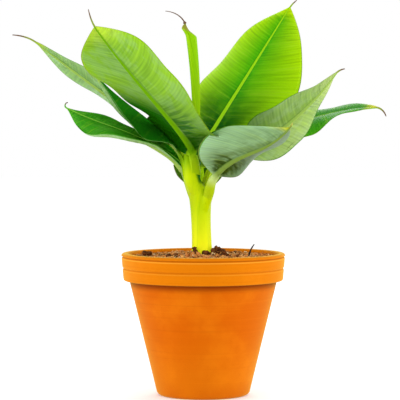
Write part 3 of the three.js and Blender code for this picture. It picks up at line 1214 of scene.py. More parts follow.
def fibre_rule() -> StrewRule:
    """The rule of fibres, which are bent, thin strands.

    Returns:
        The rule.
    """
    rule = StrewRule("strewn_fibres", "Length, Radius")
    length, radius = rule.sizes
    bend = rule.wire("GeometryNodeCurvePrimitiveBezierSegment", {
        "Resolution": 7, "Start": (-0.5, 0.0, 0.0), "Start Handle": (-0.2, 0.25, 0.12),
        "End Handle": (0.2, -0.1, 0.15), "End": (0.5, 0.1, -0.02),
    })
    profile = {"Resolution": 5, "Radius": radius / length}
    ring = rule.wire("GeometryNodeCurvePrimitiveCircle", profile)
    inputs = {"Curve": bend, "Profile Curve": ring, "Fill Caps": True}
    strand = rule.wire("GeometryNodeCurveToMesh", inputs)
    size = rule.random(0.4, 1.0) * length
    return rule.lift(rule.strew(strand, (0.35, 0.3), rule.join(size, size, size)))


@dataclass
class Lumps:
    """Lumps strewn over the soil: what they are made of, how many to a square metre, how large."""

    name: str
    finish: EarthFinish
    density: float
    size: Pair
    flatness: float
    stretch: float
    seed: int
    rise: float = 0.3

    def strew(self, rule: StrewRule, base: Mesh) -> Object:
        """Strews them over a mesh.

        Args:
            rule: The rule of lumps.
            base: The surface that they lie on.

        Returns:
            The lumps.
        """
        piece = rule.grow(self.name, base, self.finish.make(), {
            "Density": float(self.density), "Smallest": self.size[0] * MM,
            "Largest": self.size[1] * MM, "Flatness": self.flatness, "Stretch": self.stretch,
            "Rise": self.rise * MM, "Seed": self.seed,
        })
        return dress(piece)


PEAT = EarthFinish("peat", srgb(122, 64, 26), srgb(232, 156, 84), 420.0, 0.0012)
DARK_PEAT = EarthFinish("dark_peat", srgb(66, 30, 10), srgb(228, 150, 82))
BARK = EarthFinish("bark", srgb(84, 40, 14), srgb(248, 178, 104))
PALE_PEAT = EarthFinish("pale_peat", srgb(184, 138, 84), srgb(242, 214, 168))
CLOD = EarthFinish("clod", srgb(34, 18, 8), srgb(120, 70, 34))
FIBRE = EarthFinish("fibre", srgb(150, 110, 72), srgb(214, 184, 140))
DRY_WOOD = EarthFinish("twig", srgb(26, 22, 20), srgb(60, 54, 50))
CRUMBS = (
    Lumps("peat_crumbs", DARK_PEAT, 78000, (0.5, 2.1), 0.8, 1.1, 3),
    Lumps("bark_chips", BARK, 16000, (0.9, 2.6), 0.45, 1.9, 8, 0.8),
    Lumps("pale_crumbs", PALE_PEAT, 9000, (0.4, 1.3), 0.7, 1.6, 14, 1.2),
)
CLODS = Lumps("dark_clods", CLOD, 360000, (0.7, 2.6), 0.85, 1.1, 21, 0.4)


@dataclass
class Soil:
    """The soil: a clumpy disc under the rim, mounded round the stem, and what lies on it."""

    level: float = 126.0
    side_foot: float = 118.0
    mound: float = 4.0
    mound_reach: Pair = (8.0, 30.0)
    clump: float = 2.0
    rings: int = 60
    sides: int = 180
    patch_from: float = 10.5
    patch_rings: int = 24
    patch_sides: int = 72
    # Where clods are heaped: X, Y, half the width and depth, and how far the heap rises.
    heaps: tuple[tuple[float, float, float, float, float], ...] = (
        (-8.5, -10.5, 1.5, 2.0, 4.6), (-8.5, -10.5, 2.2, 2.2, 2.0), (3.5, -12.5, 4.0, 1.8, 1.2),
        (12.0, -11.0, 3.0, 2.5, 3.0), (16.0, -9.0, 4.0, 3.0, 5.0), (20.0, -10.0, 2.5, 2.5, 2.5),
        (-3.0, 13.0, 4.0, 2.0, 0.5), (-51.0, -6.0, 3.0, 2.5, 4.2), (-29.0, -14.0, 4.0, 1.5, 1.2),
        (33.0, -12.0, 2.5, 1.5, 1.2),
    )

    def height(self, x: Any, y: Any) -> Any:
        """The height of the soil at points, in millimetres.

        Args:
            x: X of a point or of several.
            y: Y of the same.

        Returns:
            The height of each.
        """
        low, high = self.mound_reach
        share = np.clip((np.hypot(x, y) - low) / (high - low), 0, 1)
        mound = self.mound * (1 - share * share * (3 - 2 * share))
        broad = np.sin(0.31 * x + 0.27 * y + 1.3) + np.sin(0.83 * x - 0.71 * y)
        small = np.sin(1.9 * x + 1.1 * y) * np.sin(1.3 * x - 2.1 * y + 0.7)
        return self.level + mound + self.clump * (broad * 0.35 + small * 0.35)

    def ground(self, pot: Pot) -> Mesh:
        """The soil's body: its clumpy top, its side along the pot's wall, and its floor.

        Args:
            pot: The pot that holds it.

        Returns:
            The soil's mesh.
        """
        floor = pot.floor_thickness + 0.5
        edges = [pot.inside(self.side_foot) - 0.6, pot.inside(floor) - 0.6]
        top = np.linspace(1.2, pot.inside(self.level) - 0.5, self.rings)
        x, y = round_grid([*top, *edges], self.sides)
        z = self.height(x, y)
        z[-2:] = [[self.side_foot], [floor]]
        rings = np.stack([x, y, z], -1).reshape(-1, 3)
        points = np.vstack([(0, 0, self.height(0.0, 0.0)), rings, (0, 0, floor)])
        faces = [tuple(reversed(face)) for face in tube_faces(len(x), self.sides)]
        return mesh_of("soil_ground", points, faces)

    def patch(self, reach: float) -> Mesh:
        """The open top of the soil that things are strewn on, clear of the stem and the wall.

        Args:
            reach: Its outer radius.

        Returns:
            The patch, an open mesh.
        """
        rings, sides = self.patch_rings, self.patch_sides
        x, y = round_grid(np.linspace(self.patch_from, reach, rings), sides)
        points = np.stack([x, y, self.height(x, y)], -1).reshape(-1, 3)
        return mesh_of("soil_patch", points, lattice(rings, sides, rings - 1))

    def banks(self) -> Mesh:
        """Small raised areas beside the stem that dark clods are heaped on.

        Returns:
            One quad for each heap.
        """
        points = []
        for x, y, wide, deep, lift in self.heaps:
            for a, b in ((-1, -1), (1, -1), (1, 1), (-1, 1)):
                place = x + a * wide, y + b * deep
                points.append((*place, self.height(*place) + lift))
        faces = [tuple(range(start, start + 4)) for start in range(0, len(points), 4)]
        return mesh_of("soil_banks", points, faces)

    def build(self, pot: Pot) -> None:
        """Builds the ground, then strews it.

        Args:
            pot: The pot that holds it.
        """
        ground = stand("soil_ground", self.ground(pot))
        dress(ground, "soil", PEAT.make())
        patch, lumps = self.patch(pot.inside(self.level) - 4), lump_rule()
        for crumbs in CRUMBS:
            crumbs.strew(lumps, patch)
        CLODS.strew(lumps, self.banks())
        fibres = fibre_rule().grow("soil_fibres", patch, FIBRE.make(), {
            "Density": 5200.0, "Length": 9 * MM, "Radius": 0.22 * MM, "Rise": 1.5 * MM, "Seed": 5,
        })
        dress(fibres)


@dataclass
class Twig:
    """A thin dry twig that stands in the soil."""

    foot: Place = (41.5, -6.0, 126.0)
    top: Place = (46.3, -8.0, 138.4)
    bend: float = 1.1
    radius: float = 0.8
    steps: int = 14
    sides: int = 10

    def build(self) -> Object:
        """Builds the twig as a bent, tapering tube.

        Returns:
            The twig.
        """
        foot, top = np.array(self.foot), np.array(self.top)
        points = [foot]
        for share in np.linspace(0, 1, self.steps):
            centre = foot + (top - foot) * share
            centre[0] -= self.bend * math.sin(math.pi * share)
            radius = self.radius * (1.15 - 0.35 * share) * (1 + 0.12 * math.sin(19 * share))
            x, y = round_grid([radius], self.sides)
            points.extend(centre + np.stack([x[0], y[0], 0 * x[0]], -1))
        mesh = mesh_of("dry_twig", [*points, top], tube_faces(self.steps, self.sides))
        return dress(stand("dry_twig", mesh), material=DRY_WOOD.make())


# --- Leaves ------------------------------------------------------------------------------------

# The unit of each number of a growing form, by the name of its field.
UNITS = {
    **dict.fromkeys((
        "root", "stalk", "blade", "thread", "stalk_half_width", "half_width", "neck", "wave",
        "pleat", "crinkle", "rib", "early", "width", "foot_radius", "top_radius", "slant",
        "shoulder", "thread_radius",
    ), MM),
    **dict.fromkeys((
        "root_rise", "rise", "sag", "thread_rise", "heading", "swing", "thread_turn", "roll",
        "fold", "cup", "angle",
    ), RAD),
    **dict.fromkeys((
        "widest", "power", "lean", "lean_ease", "lean_power", "waves", "phase", "hand", "share",
        "start", "full", "end", "ease", "flatness", "winding", "seam", "twist",
    ), 1.0),
}
# What the places of a list of two or three numbers are called.
ALONG = {2: ("Base", "Tip"), 3: ("Foot", "Base", "Tip")}


def inputs_of(form: Any, prefix: str = "") -> dict[str, Any]:
    """A form's numbers as named inputs of a growth rule, in metres and radians.

    Args:
        form: A dataclass, of whose fields those in UNITS are read.
        prefix: What each name starts with.

    Returns:
        The numbers by name, such as "Half Width", and "Rise at Tip" for one of a list.
    """
    found = {}
    for name, unit in UNITS.items():
        value = getattr(form, name, None)
        label = prefix + name.replace("_", " ").title()
        if isinstance(value, tuple):
            parts = zip(ALONG[len(value)], value)
            found |= {f"{label} at {place}": float(part * unit) for place, part in parts}
        elif value is not None:
            found[label] = float(value * unit)
    return found


@dataclass(frozen=True)
class Course:
    """The line that a leaf's midrib takes, with lists running from foot or base to tip."""

    reach: float
    foot_height: float
    heading: float
    swing: float
    rise: tuple[float, float, float]
    stalk: float
    blade: float
    roll: Pair = (0.0, 0.0)
    sag: float = 0.0
    thread: float = 10.0
    thread_rise: float = 0.0
    thread_turn: float = 0.0
    root: float = 34.0
    root_rise: float = 82.0

    def sizes(self, stem: Stem) -> dict[str, Any]:
        """The course as inputs of a growth rule, with its foot on the stem.

        Args:
            stem: The stem that it rises from.

        Returns:
            The inputs by name.
        """
        turn = self.heading * RAD
        x = stem.centre(self.foot_height) + self.reach * math.cos(turn)
        foot = (x, self.reach * math.sin(turn), self.foot_height)
        return {"Foot": tuple(float(at * MM) for at in foot), **inputs_of(self)}

    @property
    def length(self) -> float:
        """The whole length from the root's end to the thread's."""
        return self.root + self.stalk + self.blade + self.thread


@dataclass(frozen=True)
class Lobe:
    """What is added to one half of a blade near its base: width, fold and where it ends."""

    width: float = 0.0
    fold: float = 0.0
    end: float = 0.2
    ease: float = 0.1


@dataclass(frozen=True)
class Hem:
    """A strip along one margin that turns up: its share of the width and where along it shows."""

    hand: int = 1
    share: float = 0.0
    angle: float = 0.0
    start: float = 0.0
    full: float = 1.0


@dataclass(frozen=True)
class LeafForm:
    """One leaf's blade, in millimetres and degrees, with lists running from base to tip."""

    node: str
    slot: Slot
    finish: LeafFinish
    course: Course
    stalk_half_width: float
    half_width: float
    fold: Pair
    widest: float
    power: Pair
    cup: float = 0.1
    lean: float = 0.0
    lean_ease: float = 0.5
    lean_power: float = 2.0
    wave: float = 0.0
    waves: float = 1.0
    phase: float = 0.0
    rib: Pair = (2.4, 0.6)
    neck: float = 3.0
    pleat: float = 0.3
    crinkle: float = 1.4
    near_lobe: Lobe = Lobe()
    far_lobe: Lobe = Lobe()
    hem: Hem = Hem()
    early: float = 0.0

    def sizes(self, stem: Stem, seed: float) -> dict[str, Any]:
        """The leaf as inputs of the blade rule.

        Args:
            stem: The stem that it rises from.
            seed: Where its crinkles start in the noise.

        Returns:
            The inputs by name.
        """
        return {
            **self.course.sizes(stem), **inputs_of(self), **inputs_of(self.hem, "Hem "),
            **inputs_of(self.near_lobe, "Near Lobe "), **inputs_of(self.far_lobe, "Far Lobe "),
            "Seed": seed,
        }


@dataclass(frozen=True)
class RollForm:
    """The rolled leaf, in millimetres: its radii, its slanting top and how its sheet is wound."""

    course: Course
    foot_radius: float
    top_radius: float
    slant: float
    shoulder: float
    thread_radius: float
    flatness: float
    winding: float
    seam: float
    twist: float


class GrowthRule:
    """A Geometry Nodes rule that starts from a closed strip and follows a course."""

    STATIONS = 210
    SIDES = 112
    CROWDING = 1.7

    def __init__(self, name: str) -> None:
        """Starts the recipe and writes it."""
        self.recipe = Recipe(name)
        self.write(self.recipe, self.follow(self.recipe))

    @classmethod
    def strip(cls, name: str) -> Mesh:
        """A closed tube of points that know their share along a leaf and their place round it.

        Args:
            name: The mesh's name.

        Returns:
            The strip, with its numbers as attributes and a UV map of along and round.
        """
        stations, sides = cls.STATIONS, cls.SIDES
        half = sides // 2
        spread = np.linspace(-1, 1, half + 1)
        spread = np.sign(spread) * np.abs(spread) ** cls.CROWDING
        rounds = {
            "across": np.concatenate([spread, spread[-2:0:-1]]),
            "lift": np.concatenate([[0], np.ones(half - 1), [0], -np.ones(half - 1)]),
            "under": np.where(np.arange(sides) > half, 1.0, 0.0),
            "turn": np.arange(sides) / sides,
            "lane": np.arange(sides),
        }
        values = {name: np.tile(ring, stations) for name, ring in rounds.items()}
        values["along"] = np.repeat(np.linspace(0, 1, stations), sides)
        values["stride"] = np.where(values["along"] > 0, 1 / (stations - 1), 0.0)
        mesh = mesh_of(name, np.zeros((stations * sides + 2, 3)), tube_faces(stations, sides))
        for label, numbers in values.items():
            numbers = np.concatenate([[0], numbers, [1 if label == "along" else 0]])
            values[label] = numbers
            kind, dtype = ("INT", "int32") if label == "lane" else ("FLOAT", "float32")
            kept = mesh.attributes.new(label, kind, "POINT")
            kept.data.foreach_set("value", numbers.astype(dtype))
        corners = np.empty(len(mesh.loops), dtype=np.int64)
        mesh.loops.foreach_get("vertex_index", corners)
        wraps = np.repeat(
            [max(values["lane"][list(face.vertices)]) == sides - 1 for face in mesh.polygons],
            [face.loop_total for face in mesh.polygons],
        )
        turn = values["turn"][corners]
        turn = np.where(wraps & (turn == 0), 1.0, turn)
        uv = mesh.uv_layers.new(name="leaf_map")
        uv.data.foreach_set("uv", np.stack([values["along"][corners], turn], -1).ravel())
        return mesh

    @staticmethod
    def follow(r: Recipe) -> dict[str, Wire]:
        """Follows the midrib from the root to the end of the thread.

        Args:
            r: The recipe to write into.

        Returns:
            The midrib's point, its frame, and how far along each stretch a point lies.
        """
        foot = r.input("Foot", "NodeSocketVector")
        root, stalk, blade, thread = r.numbers("Root, Stalk, Blade, Thread")
        foot_rise, base_rise, tip_rise = r.numbers("Foot, Base, Tip", "Rise at ")
        root_rise, thread_rise, sag = r.numbers("Root Rise, Thread Rise, Sag")
        heading, swing, thread_turn = r.numbers("Heading, Swing, Thread Turn")
        roll_base, roll_tip = r.numbers("Base, Tip", "Roll at ")
        length = root + stalk + blade + thread
        gone = r.read("along") * length - root
        on_root = r.share(gone * -1.0, 0.0, root)
        on_stalk = r.share(gone, 0.0, stalk)
        on_blade = r.share((gone - stalk) / blade, smooth=False)
        on_thread = r.most((gone - stalk - blade) / thread, 0.0)
        bent = on_thread ** 0.7
        rise = r.between(foot_rise, base_rise, on_stalk) + (tip_rise - base_rise) * on_blade
        rise = rise - sag * r.sine(on_blade * math.pi)
        rise = rise + thread_rise * bent + (root_rise - foot_rise) * on_root
        bearing = heading + swing * on_blade + thread_turn * bent
        level, east, north = r.cosine(rise), r.cosine(bearing), r.sine(bearing)
        along = r.join(level * east, level * north, r.sine(rise))
        advance = r.scale(along, r.read("stride") * length)
        below = r.scale(advance, r.math("LESS_THAN", gone, 0.0))
        lane = r.read("lane", "INT")
        total, before = (
            r.node("GeometryNodeAccumulateField", {"Value": step, "Group ID": lane},
                   data_type="FLOAT_VECTOR")
            for step in (advance, below)
        )
        reached = r.vector("SUBTRACT", r.output(total, "Leading"), r.output(before, "Total"))
        flat_side = r.join(north * -1.0, east, 0.0)
        upright = r.vector("CROSS_PRODUCT", along, flat_side)
        roll = r.between(roll_base * on_stalk, roll_tip, on_blade)
        side = r.add(r.scale(flat_side, r.cosine(roll)), r.scale(upright, r.sine(roll)))
        return {
            "point": r.add(foot, reached), "along": along, "side": side,
            "up": r.vector("CROSS_PRODUCT", along, side), "gone": gone, "stalk": stalk,
            "blade": blade, "on_root": on_root, "on_stalk": on_stalk, "on_blade": on_blade,
            "on_thread": on_thread,
        }

    def grow(self, node: str, slot: Slot, material: Material, sizes: Mapping[str, Any]) -> Object:
        """Grows one leaf in place of a CAD node.

        Args:
            node: The node that it stands for.
            slot: The record's material slot; not used.
            material: The leaf's material.
            sizes: The rule's inputs by name.

        Returns:
            The leaf.
        """
        name = node + "_blade"
        return dress(self.recipe.grow(name, self.strip(name), material, sizes), node)


class BladeRule(GrowthRule):
    """The rule of an open leaf: stalk, blade with its rib, and thread."""

    RIB_DEPTH = (3.4 * MM, 0.9 * MM)
    FOOT_DEPTH = 5.6 * MM
    ROOT_DEPTH = 2.0 * MM
    THREAD_RADIUS = (0.75 * MM, 0.3 * MM)
    SHEET = 0.36 * MM
    PLEAT_LENGTH = 6.5 * MM

    def outline(self, r: Recipe, way: dict[str, Wire], neck: Wire) -> Wire:
        """The half-width at each point: stalk, blade and thread.

        Args:
            r: The recipe.
            way: What follow() gives.
            neck: The half-width where stalk and blade meet.

        Returns:
            The half-width.
        """
        stalk_width, widest_width, widest = r.numbers("Stalk Half Width, Half Width, Widest")
        base_power, tip_power = r.numbers("Base, Tip", "Power at ")
        share, quarter = way["unfurled"], math.pi / 2
        opening = r.most(r.sine(r.share(share, 0.0, widest, smooth=False) * quarter), 0.0)
        closing = r.most(r.cosine(r.share(share, widest, 1.0, smooth=False) * quarter), 0.0)
        swelling = (opening ** base_power) * (closing ** tip_power)
        blade = r.most(r.between(neck, self.THREAD_RADIUS[0], share), widest_width * swelling)
        linear = r.share(way["gone"], 0.0, way["bare"], smooth=False)
        stalk = r.between(stalk_width, neck, linear) * (1.0 - way["on_root"] * 0.6)
        width = r.between(stalk, blade, r.math("GREATER_THAN", way["gone"], way["bare"]))
        slim = self.THREAD_RADIUS[1] / self.THREAD_RADIUS[0]
        return width * r.between(1.0, slim, r.least(way["on_thread"], 1.0))

    def lobes(self, r: Recipe, way: dict[str, Wire], hand: Wire) -> tuple[Wire, Wire, Wire]:
        """What the base lobes add: a width, a fold, and how far a point lies in a lobe.

        Args:
            r: The recipe.
            way: What follow() gives.
            hand: Which half a point is on, -1 or 1.

        Returns:
            The width, the fold and the share.
        """
        both = []
        for label in ("Near Lobe ", "Far Lobe "):
            width, fold, end, ease = r.numbers("Width, Fold, End, Ease", label)
            both.append((width, fold, r.share((end - way["on_blade"]) / ease)))
        is_far = r.math("GREATER_THAN", hand, 0.0)
        width, fold, depth = (r.between(near, far, is_far) for near, far in zip(*both))
        opened = way["opened"] * depth
        return width * opened, fold * depth, opened

    def write(self, r: Recipe, way: dict[str, Wire]) -> None:
        """Writes the whole rule, round the midrib that follow() gives.

        Args:
            r: The recipe.
            way: What follow() gives, to which the unfurling is added.
        """
        neck, early, seed = r.numbers("Neck, Early, Seed")
        rib_base, rib_tip = r.numbers("Base, Tip", "Rib at ")
        fold_base, fold_tip = r.numbers("Base, Tip", "Fold at ")
        cup, lean, lean_ease, lean_power = r.numbers("Cup, Lean, Lean Ease, Lean Power")
        wave, waves, phase, pleat, crinkle = r.numbers("Wave, Waves, Phase, Pleat, Crinkle")
        hem_hand, hem_share, hem_angle, hem_start, hem_full = r.numbers(
            "Hand, Share, Angle, Start, Full", "Hem "
        )
        way["bare"] = way["stalk"] - early
        unfurled = (way["gone"] - way["bare"]) / (way["blade"] + early)
        way["unfurled"] = r.share(unfurled, smooth=False)
        way["opened"] = opened = r.share(way["unfurled"], 0.0, 0.02)
        across, lift, share = r.read("across"), r.read("lift"), way["on_blade"]
        out, hand = abs(across), r.math("SIGN", across)
        swell = r.most(r.sine(share * math.pi), 0.0)
        lobe_width, lobe_fold, lobe = self.lobes(r, way, hand)
        width = self.outline(r, way, neck) + lobe_width
        fold = r.between(fold_base, fold_tip, share) + lobe_fold

        # The section is an arc from the midrib to the hem, and the hem goes on straight.
        hemmed = r.share(share, hem_start, hem_full) * r.math("COMPARE", hand, hem_hand, 0.5)
        flat = 1.0 - hem_share * hemmed
        turned = fold + cup * r.least(out, flat)
        beyond, hem_turn = r.most(out - flat, 0.0), turned + hem_angle
        arc_reach = (r.sine(turned) - r.sine(fold)) / cup + beyond * r.cosine(hem_turn)
        arc_lift = (r.cosine(fold) - r.cosine(turned)) / cup + beyond * r.sine(hem_turn)

        # The sheet ripples towards its margin, is pleated near its base and crinkled all over.
        ripple = r.sine((waves * share + phase * hand) * FULL_TURN)
        pleats = way["gone"] - way["stalk"] + out * 0.01
        pleats = r.sine(pleats * (FULL_TURN / self.PLEAT_LENGTH)) * r.share(share, 0.42, 0.03)
        pleats = pleats * r.share(out, 0.05, 0.3) * r.share(out, 1.0, 0.5) * pleat
        flow = r.join(way["gone"] * 26.0, across * 1.6, seed)
        cloud = (r.noise(flow, 1.0, 2.0, 0.5) - 0.5) * crinkle * r.share(out, 0.03, 0.3)
        height = width * arc_lift + wave * out * out * ripple * swell
        height = height + (pleats + cloud) * r.share(swell, 0.0, 0.35)
        forward = lean * width * (out ** lean_power) * (swell ** lean_ease)

        # Under the thin sheet runs the rib, and a channel is sunk in the top of stalk and rib.
        rib_width = r.least(r.between(width, r.between(rib_base, rib_tip, share), opened), width)
        rib = out * width / rib_width
        round_rib = r.most(1.0 - rib * rib, 0.0) ** r.between(0.5, 1.1, opened)
        depth = r.between(self.FOOT_DEPTH, self.RIB_DEPTH[0], way["on_stalk"])
        depth = r.between(depth, self.RIB_DEPTH[1], share)
        depth = r.least(r.between(depth, self.ROOT_DEPTH, way["on_root"]), width * 1.3)
        edge = r.math("SQRT", r.most(1.0 - (out ** 6.0), 0.0))
        sheet = edge * r.least(self.SHEET, width * 0.8)
        hollow = r.most(1.0 - rib * rib * 1.4, 0.0) ** 2.0
        above = sheet - hollow * r.between(0.3, 0.16, opened) * depth
        beneath = sheet + round_rib * depth
        offset = r.between(beneath * -1.0, above, r.math("GREATER_THAN", lift, 0.0)) * abs(lift)
        tilt = turned + hem_angle * r.share(out, flat, 1.0) * hemmed
        tilt = hand * tilt * r.share(rib, 0.0, 1.2)

        up, side = way["up"], way["side"]
        normal = r.add(r.scale(up, r.cosine(tilt)), r.scale(side, r.sine(tilt) * -1.0))
        place = r.add(
            way["point"], r.scale(side, hand * width * arc_reach), r.scale(up, height),
            r.scale(way["along"], forward), r.scale(normal, offset),
        )
        inputs = {"Geometry": r.geometry, "Position": place}
        r.end(r.wire("GeometryNodeSetPosition", inputs), {
            "offset": across * width * (1 / MM),
            "margin": (1.0 - out) * width * (1 / MM),
            "reach": (way["gone"] - way["bare"]) * (1 / MM),
            "rib": rib,
            "share": share,
            "dried": way["on_thread"],
            "climb": way["gone"] * (1 / MM),
            "lobe": lobe,
        })


class RollRule(GrowthRule):
    """The rule of the youngest leaf: a sheet wound round itself, with a slanting top."""

    def write(self, r: Recipe, way: dict[str, Wire]) -> None:
        """Writes the whole rule, round the midrib that follow() gives.

        Args:
            r: The recipe.
            way: What follow() gives.
        """
        low, high, flatness, end = r.numbers("Foot Radius, Top Radius, Flatness, Thread Radius")
        slant, ease, winding, seam, twist = r.numbers("Slant, Shoulder, Winding, Seam, Twist")
        dried, gone, turn = way["on_thread"], way["gone"], r.read("turn") * FULL_TURN
        length = way["stalk"] + way["blade"]
        share = r.share(gone, 0.0, length, smooth=False)
        wound = r.math("FRACT", r.read("turn") - seam - twist * way["on_blade"])
        left = length - gone - slant * (r.cosine(turn) * 0.5 + 0.5)
        open_top = r.math("SQRT", r.share(left, 0.0, ease, smooth=False))
        radius = r.between(low, high, share) * (1.0 - winding * wound) * open_top
        thin = end * r.between(1.0, 0.4, r.least(dried, 1.0))
        blob = r.share(dried, 0.16, 0.06) * r.share(dried, 0.0, 0.05) * end * 1.3
        radius = r.most(radius, thin + blob)
        shift = r.between(low, high, share) * r.share(gone, length - slant * 1.3, length) * -0.72
        place = r.add(
            way["point"], r.scale(way["side"], r.sine(turn) * radius * flatness),
            r.scale(way["up"], r.cosine(turn) * radius + shift),
        )
        shaped = r.wire("GeometryNodeSetPosition", {"Geometry": r.geometry, "Position": place})
        kept = {"share": share, "dried": dried, "wound": wound, "left": left * (1 / MM)}
        r.end(shaped, kept)


DEEP = Side(
    near=srgb(58, 162, 32), edge=srgb(72, 172, 40), base=srgb(4, 92, 2), tip=srgb(120, 180, 6),
    rib=srgb(136, 204, 70), bloom=srgb(108, 186, 68), bloom_share=0.45,
)
# Painted shade: the dark green of a leaf side that lies in shadow.
SHADOWED_GREEN = Side(
    near=srgb(0, 92, 0), edge=srgb(4, 124, 0), base=srgb(0, 76, 0), tip=srgb(10, 104, 1),
    rib=srgb(20, 100, 1), bloom=srgb(4, 112, 0), bloom_share=0.4,
)
WAXY = Side(
    near=srgb(124, 164, 84), edge=srgb(158, 198, 124), base=srgb(92, 124, 44),
    tip=srgb(196, 212, 10), rib=srgb(166, 196, 92), bloom=srgb(172, 212, 156), bloom_share=0.6,
)
GLOWING = Side(
    near=srgb(150, 182, 80), edge=srgb(168, 198, 114), base=srgb(92, 124, 44),
    tip=srgb(206, 222, 140), rib=srgb(166, 196, 92), bloom=srgb(178, 206, 146), bloom_share=0.5,
)
# Painted shade: the dark olive of a leaf hanging in shadow behind the stem.
SHADOWED_OLIVE = Side(
    near=srgb(40, 84, 6), edge=srgb(56, 104, 16), base=srgb(24, 70, 4), tip=srgb(60, 100, 16),
    rib=srgb(90, 134, 40), bloom=srgb(64, 108, 24), bloom_share=0.4,
)
POWDERY = Side(
    near=srgb(112, 140, 82), edge=srgb(170, 212, 162), base=srgb(78, 100, 26),
    tip=srgb(216, 220, 20), rib=srgb(126, 152, 62), bloom=srgb(164, 204, 152), bloom_share=0.55,
)
SUNLIT_UPPER = Side(
    near=srgb(60, 174, 0), edge=srgb(184, 234, 0), base=srgb(0, 84, 0), tip=srgb(206, 240, 0),
    rib=srgb(168, 224, 20), bloom=srgb(150, 222, 0), bloom_share=0.15,
)
SUNLIT_UNDER = Side(
    near=srgb(128, 178, 52), edge=srgb(152, 202, 28), base=srgb(44, 104, 4), tip=srgb(196, 226, 60),
    rib=srgb(116, 174, 4), bloom=srgb(152, 196, 104), bloom_share=0.65,
)
FRESH = Side(
    near=srgb(40, 142, 4), edge=srgb(66, 162, 8), base=srgb(24, 112, 2), tip=srgb(232, 226, 0),
    rib=srgb(150, 206, 80), bloom=srgb(96, 176, 30), bloom_share=0.3,
)

